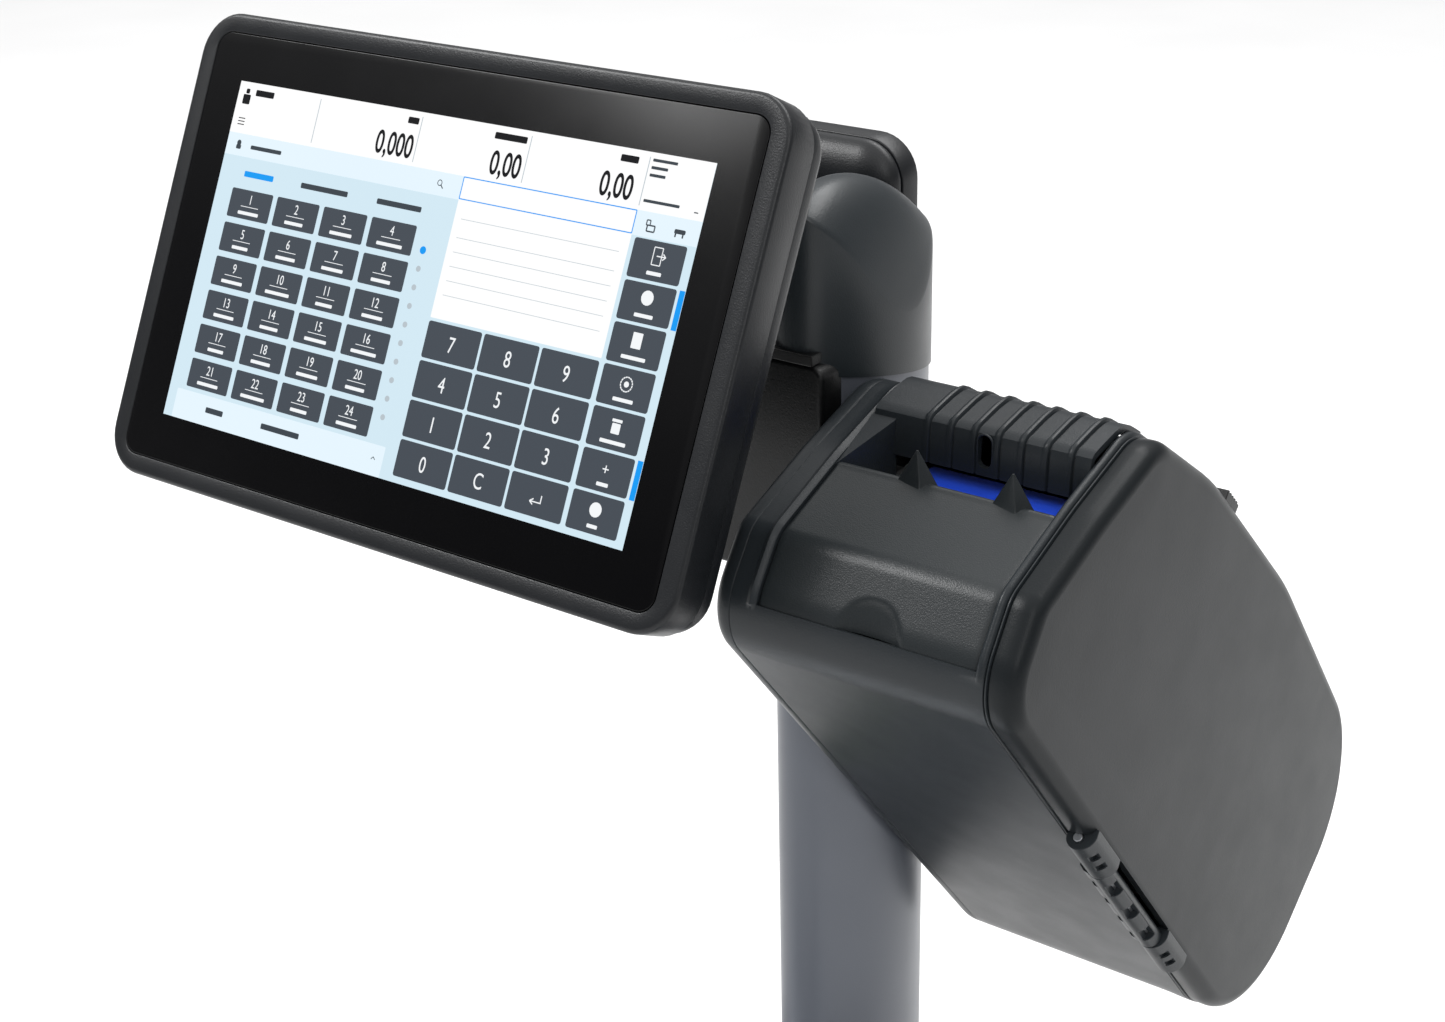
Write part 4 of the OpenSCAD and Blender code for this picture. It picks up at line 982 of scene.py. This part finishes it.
def operator_screen():
    field, band, white = Ink("field"), Ink("band"), Ink("white")
    key, dark, grey, blue, light, black = Ink("key"), Ink("ink"), Ink("ink"), Ink("ink"), Ink("ink"), Ink("ink")
    field.rect(0, 0, LIT_W, LIT_H)
    band.rect(0, 23.2, LIT_W, 33.2)
    band.rect(5.5, 140.6, 135, LIT_H, 0.6)
    white.rect(0, 0, LIT_W, 23.2)
    white.rect(142.2, 23.3, 234, 83.2, 0.4)
    # header: separators, figures, unit bars, menu and weight signs, note lines
    for x in (51.4, 112.2, 173, 234.2):
        grey.rect(x - 0.2, 2, x + 0.2, 21.5)
    for text, x in (("0,000", 110.6), ("0,00", 171), ("0,00", 229.4)):
        black.digits(text, x, 15, 10.2, "RIGHT", 0.70, 0.22)
    for x0, x1 in ((104.4, 110.6), (153.5, 171), (220, 229)):
        black.rect(x0, 2.8, x1, 5.6, 0.5)
    black.rect(11, 2.9, 22.5, 5.7, 0.5)
    black.rect(3.6, 5.6, 8.2, 10, 0.6)
    black.rect(4.8, 3.0, 7.0, 5.2, 0.5)
    for y in (16.4, 17.8, 19.2):
        black.rect(3.8, y - 0.22, 8.0, y + 0.22, 0.2)
    for y, x1 in ((3, 248), (6, 244), (9, 243.6)):
        dark.rect(235.8, y - 0.6, x1, y + 0.6, 0.3)
    dark.rect(235.8, 18.6, 253.6, 19.8, 0.3)
    dark.rect(261, 20, 263, 20.5, 0.2)
    # bar under the header
    dark.rect(15.6, 27.6, 35, 29.4, 0.5)
    dark.dot(7.8, 27.4, 1.3)
    dark.rect(6.4, 28.2, 9.4, 30.2, 0.6)
    dark.outline(240.6, 28.4, 244.4, 30.8, 0.6)
    dark.outline(240.0, 26.4, 241.8, 28.4, 0.5)
    dark.rect(254, 27.8, 259.4, 29.6, 0.6)
    for x in (254.8, 258.4):
        dark.rect(x - 0.35, 29.4, x + 0.35, 31, 0.2)
    dark.ring(130, 27.8, 1.2, 12, 0.35)
    dark.bar(130.9, 28.7, 132.2, 30, 0.45)
    # left field: tabs, keys 1 to 24, page dots, drawer
    blue.rect(15.6, 39.2, 34, 41.8, 0.5)
    dark.rect(51.5, 39.3, 80, 41.7, 0.5)
    dark.rect(97.6, 39.3, 123.4, 41.7, 0.5)
    for n in range(24):
        x, y = 10.4 + 28.93 * (n % 4), 47.4 + 15.66 * (n // 4)
        key.rect(x, y, x + 26.1, y + 13, 0.9)
        light.digits(str(n + 1), x + 13, y + 4.0, 4.4)
        light.rect(x + 7.6, y + 7.3, x + 18.6, y + 7.6)
        wide = (6.4, 6.0, 5.0, 7.4, 6.6, 5.6)[n * 5 % 6]
        light.rect(x + 13 - wide, y + 9.6, x + 13 + wide, y + 11.1, 0.4)
    blue.dot(129.6, 56.8, 1.7)
    for k in range(1, 10):
        grey.dot(129.5, 56.8 + 8 * k, 1.3)
    dark.rect(26, 145.5, 37, 148, 0.5)
    dark.rect(61.5, 145.5, 85, 148, 0.5)
    dark.bar(128.5, 147, 129.6, 145.9, 0.35)
    dark.bar(130.7, 147, 129.6, 145.9, 0.35)
    # list, keypad and function keys
    blue.outline(142.4, 23.5, 233.9, 32.7, 0.45)
    for y in (40.8, 48.7, 54.8, 60.9, 67.0, 73.1):
        grey.rect(146, y - 0.12, 230, y + 0.12)
    for n, text in enumerate("7894561230C"):
        x, y = 142.2 + 30.93 * (n % 3), 84.5 + 16.93 * (n // 3)
        key.rect(x, y, x + 29.6, y + 15.7, 1.1)
        light.digits(text, x + 14.8, y + 7.9, 7.0)
    key.rect(204.1, 135.3, 233.7, 151, 1.1)
    light.bar(221.6, 142, 221.6, 145.3, 0.5)
    light.bar(221.8, 145.1, 216, 145.1, 0.5)
    light.bar(216, 145.1, 217.8, 143.9, 0.5)
    light.bar(216, 145.1, 217.8, 146.3, 0.5)
    for n in range(7):
        y = 33.8 + 16.92 * n
        key.rect(236.2, y, 262, y + 15.7, 1.1)
        wide = (3.6, 4.6, 6, 5, 6.4, 2.9, 2.6)[n]
        light.rect(249.1 - wide, y + 12.0, 249.1 + wide, y + 13.5, 0.4)
    light.outline(246.8, 36.2, 251.0, 43.2, 0.4)
    light.bar(248.6, 39.6, 253, 39.6, 0.45)
    light.bar(253, 39.6, 251.6, 38.4, 0.45)
    light.bar(253, 39.6, 251.6, 40.8, 0.45)
    light.dot(249, 56.3, 3.0)
    light.rect(246.6, 70.2, 251.4, 76.6, 0.3)
    light.ring(249.1, 90.9, 2.9, 16, 0.5, share=0.8, start=0.4)
    light.dot(249.1, 90.9, 1.2)
    light.rect(246.6, 104.9, 251.6, 106.1, 0.3)
    light.rect(247, 106.6, 251.2, 110.8, 0.4)
    light.bar(247.6, 125, 250.6, 125, 0.5)
    light.bar(249.1, 123.5, 249.1, 126.5, 0.5)
    light.dot(249, 141.4, 3.0)
    for y in (50.7, 118.3):
        blue.rect(263.4, y, LIT_W, y + 15.8)
    for name, ink, colour in (
            ("screen_field", field, "#d3e9f4"), ("screen_bands", band, "#e6f5fe"),
            ("screen_white", white, "#ffffff"), ("screen_keys", key, "#454c54"),
            ("screen_ink", dark, "#3c444b"), ("screen_figures", black, "#0a0b0c"),
            ("screen_rules", grey, "#b9c4cb"), ("screen_accent", blue, "#0a9bf5"),
            ("screen_light", light, "#f4f7f9")):
        ink.make(name, glow(name, colour, OPERATOR_LIGHT), OPERATOR, "operator_display")


def customer_screen():
    """A plain customer view: weight, unit price and total as figures on a pale field."""
    w, h = 160, 96
    field, white, black, blue = (Ink(k, w, h) for k in ("field", "white", "ink", "ink"))
    field.rect(0, 0, w, h)
    white.rect(0, 0, w, 34)
    for text, x in (("0,000", 50), ("0,00", 100), ("0,00", 152)):
        black.digits(text, x, 21, 12, "RIGHT", 0.70, 0.25)
        black.rect(x - 12, 5, x, 8, 0.6)
    for x in (55, 105):
        black.rect(x - 0.2, 4, x + 0.2, 30)
    for y in (48, 60, 72, 84):
        black.rect(12, y - 0.15, 148, y + 0.15)
    blue.rect(0, 92, w, h)
    for name, ink, colour in (
            ("customer_field", field, "#d3e9f4"), ("customer_white", white, "#ffffff"),
            ("customer_figures", black, "#14171a"), ("customer_accent", blue, "#0a9bf5")):
        ink.make(name, glow(name, colour, CUSTOMER_LIGHT), CUSTOMER, "customer_display")


# ------------------------------------------------------------------ base


def weighing_plate():
    """The removable steel load plate: a deep-drawn tray turned over, with rounded rims."""
    lo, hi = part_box("load_plate")
    mid = (lo + hi) / 2
    w, d, h = ((hi - lo) * 1000)
    rings = []
    for inset, z in ((0.0, 0.0), (0.0, h - 4.5), (0.3, h - 2.7), (1.2, h - 1.2), (2.7, h - 0.3), (4.5, h)):
        rings.append(rounded_box(w - 2 * inset, d - 2 * inset, 16 - inset, z, 12))
    inner = [(1.4, 0.0), (1.4, h - 5), (2.6, h - 2.6), (5, h - 1.5)]
    inside = [rounded_box(w - 2 * i, d - 2 * i, 16 - i, z, 12) for i, z in inner]
    parts = [loft(rings, caps=False), loft(inside, caps=False), loft([rings[0], inside[0]], caps=False),
             cap(rings[-1]), cap(inside[-1])]
    local = Matrix.Translation((mid.x, mid.y, lo.z)) @ Matrix.Scale(0.001, 4)
    piece("weighing_plate", *join(*parts), local, BRUSHED, "load_plate", ["load_plate"], "steel", sharp=40)


housing()
barrel()
left_cover()
lid()
rib_bar()
door()
latch()
roll()
column()
head()
arm()
operator_display()
customer_display()
operator_screen()
customer_screen()
weighing_plate()

# ------------------------------------------------------------------ camera, floor and light

CAMERA_AT = Vector((0.56655, -0.72515, 0.8999))
LENS = 56.506


def camera():
    data = bpy.data.cameras.new("camera")
    data.sensor_width, data.lens = 36.0, LENS
    data.clip_start, data.clip_end = 0.05, 50
    obj = bpy.data.objects.new("camera", data)
    right = Vector((0.8042, 0.5939, -0.0226)).normalized()
    back = -Vector((-0.5507, 0.7300, -0.4048)).normalized()
    up = back.cross(right).normalized()
    right = up.cross(back)
    obj.matrix_world = Matrix.Translation(CAMERA_AT) @ Matrix((right, up, back)).transposed().to_4x4()
    bpy.context.scene.collection.objects.link(obj)
    bpy.context.scene.camera = obj


def studio():
    size, below = 60, -0.0002
    data = bpy.data.meshes.new("floor")
    corners = [(x * size, y * size, below) for x, y in ((-1, -1), (1, -1), (1, 1), (-1, 1))]
    data.from_pydata(corners, [], [(0, 1, 2, 3)])
    floor = bpy.data.objects.new("floor", data)
    bpy.context.scene.collection.objects.link(floor)
    mat, nodes, links, shader = new_material("floor")
    coords = nodes.new("ShaderNodeTexCoord")
    cloud = noise(nodes, links, coords, 3.0, 2.0)
    spread(nodes, links, cloud.outputs["Fac"], (0.80, 0.80, 0.80), (0.83, 0.83, 0.83), shader.inputs["Base Color"])
    shader.inputs["Roughness"].default_value = 0.8
    data.materials.append(mat)
    world = bpy.data.worlds.new("studio")
    bpy.context.scene.world = world
    world.use_nodes = True
    tree = world.node_tree
    sky = tree.nodes.new("ShaderNodeTexCoord")
    parts = tree.nodes.new("ShaderNodeSeparateXYZ")
    ramp = tree.nodes.new("ShaderNodeValToRGB")
    tree.links.new(sky.outputs["Generated"], parts.inputs["Vector"])
    tree.links.new(parts.outputs["Z"], ramp.inputs["Fac"])
    tree.links.new(ramp.outputs["Color"], tree.nodes["Background"].inputs["Color"])
    low, high = ramp.color_ramp.elements
    low.position, low.color = 0.25, (0.16, 0.16, 0.165, 1)
    high.position, high.color = 0.8, (1, 1, 1, 1)
    tree.nodes["Background"].inputs["Strength"].default_value = 1.45
    bpy.context.scene.view_settings.view_transform = "Standard"


def area(name, at, target, size, power):
    data = bpy.data.lights.new(name, "AREA")
    data.shape, data.size, data.size_y = "RECTANGLE", *size
    data.energy = power
    obj = bpy.data.objects.new(name, data)
    obj.location = at
    obj.rotation_mode = "QUATERNION"
    obj.rotation_quaternion = (Vector(at) - Vector(target)).to_track_quat("Z", "Y")
    bpy.context.scene.collection.objects.link(obj)


camera()
studio()
area("key", (-1.5, -0.9, 2.3), (0, 0, 0.5), (1.2, 0.7), 44)
area("top", (0.3, 1.2, 2.4), (0, 0, 0.5), (2.0, 0.7), 30)
area("side", (1.9, -1.5, 1.9), (0, 0, 0.4), (0.5, 1.4), 10)

bpy.context.view_layer.update()
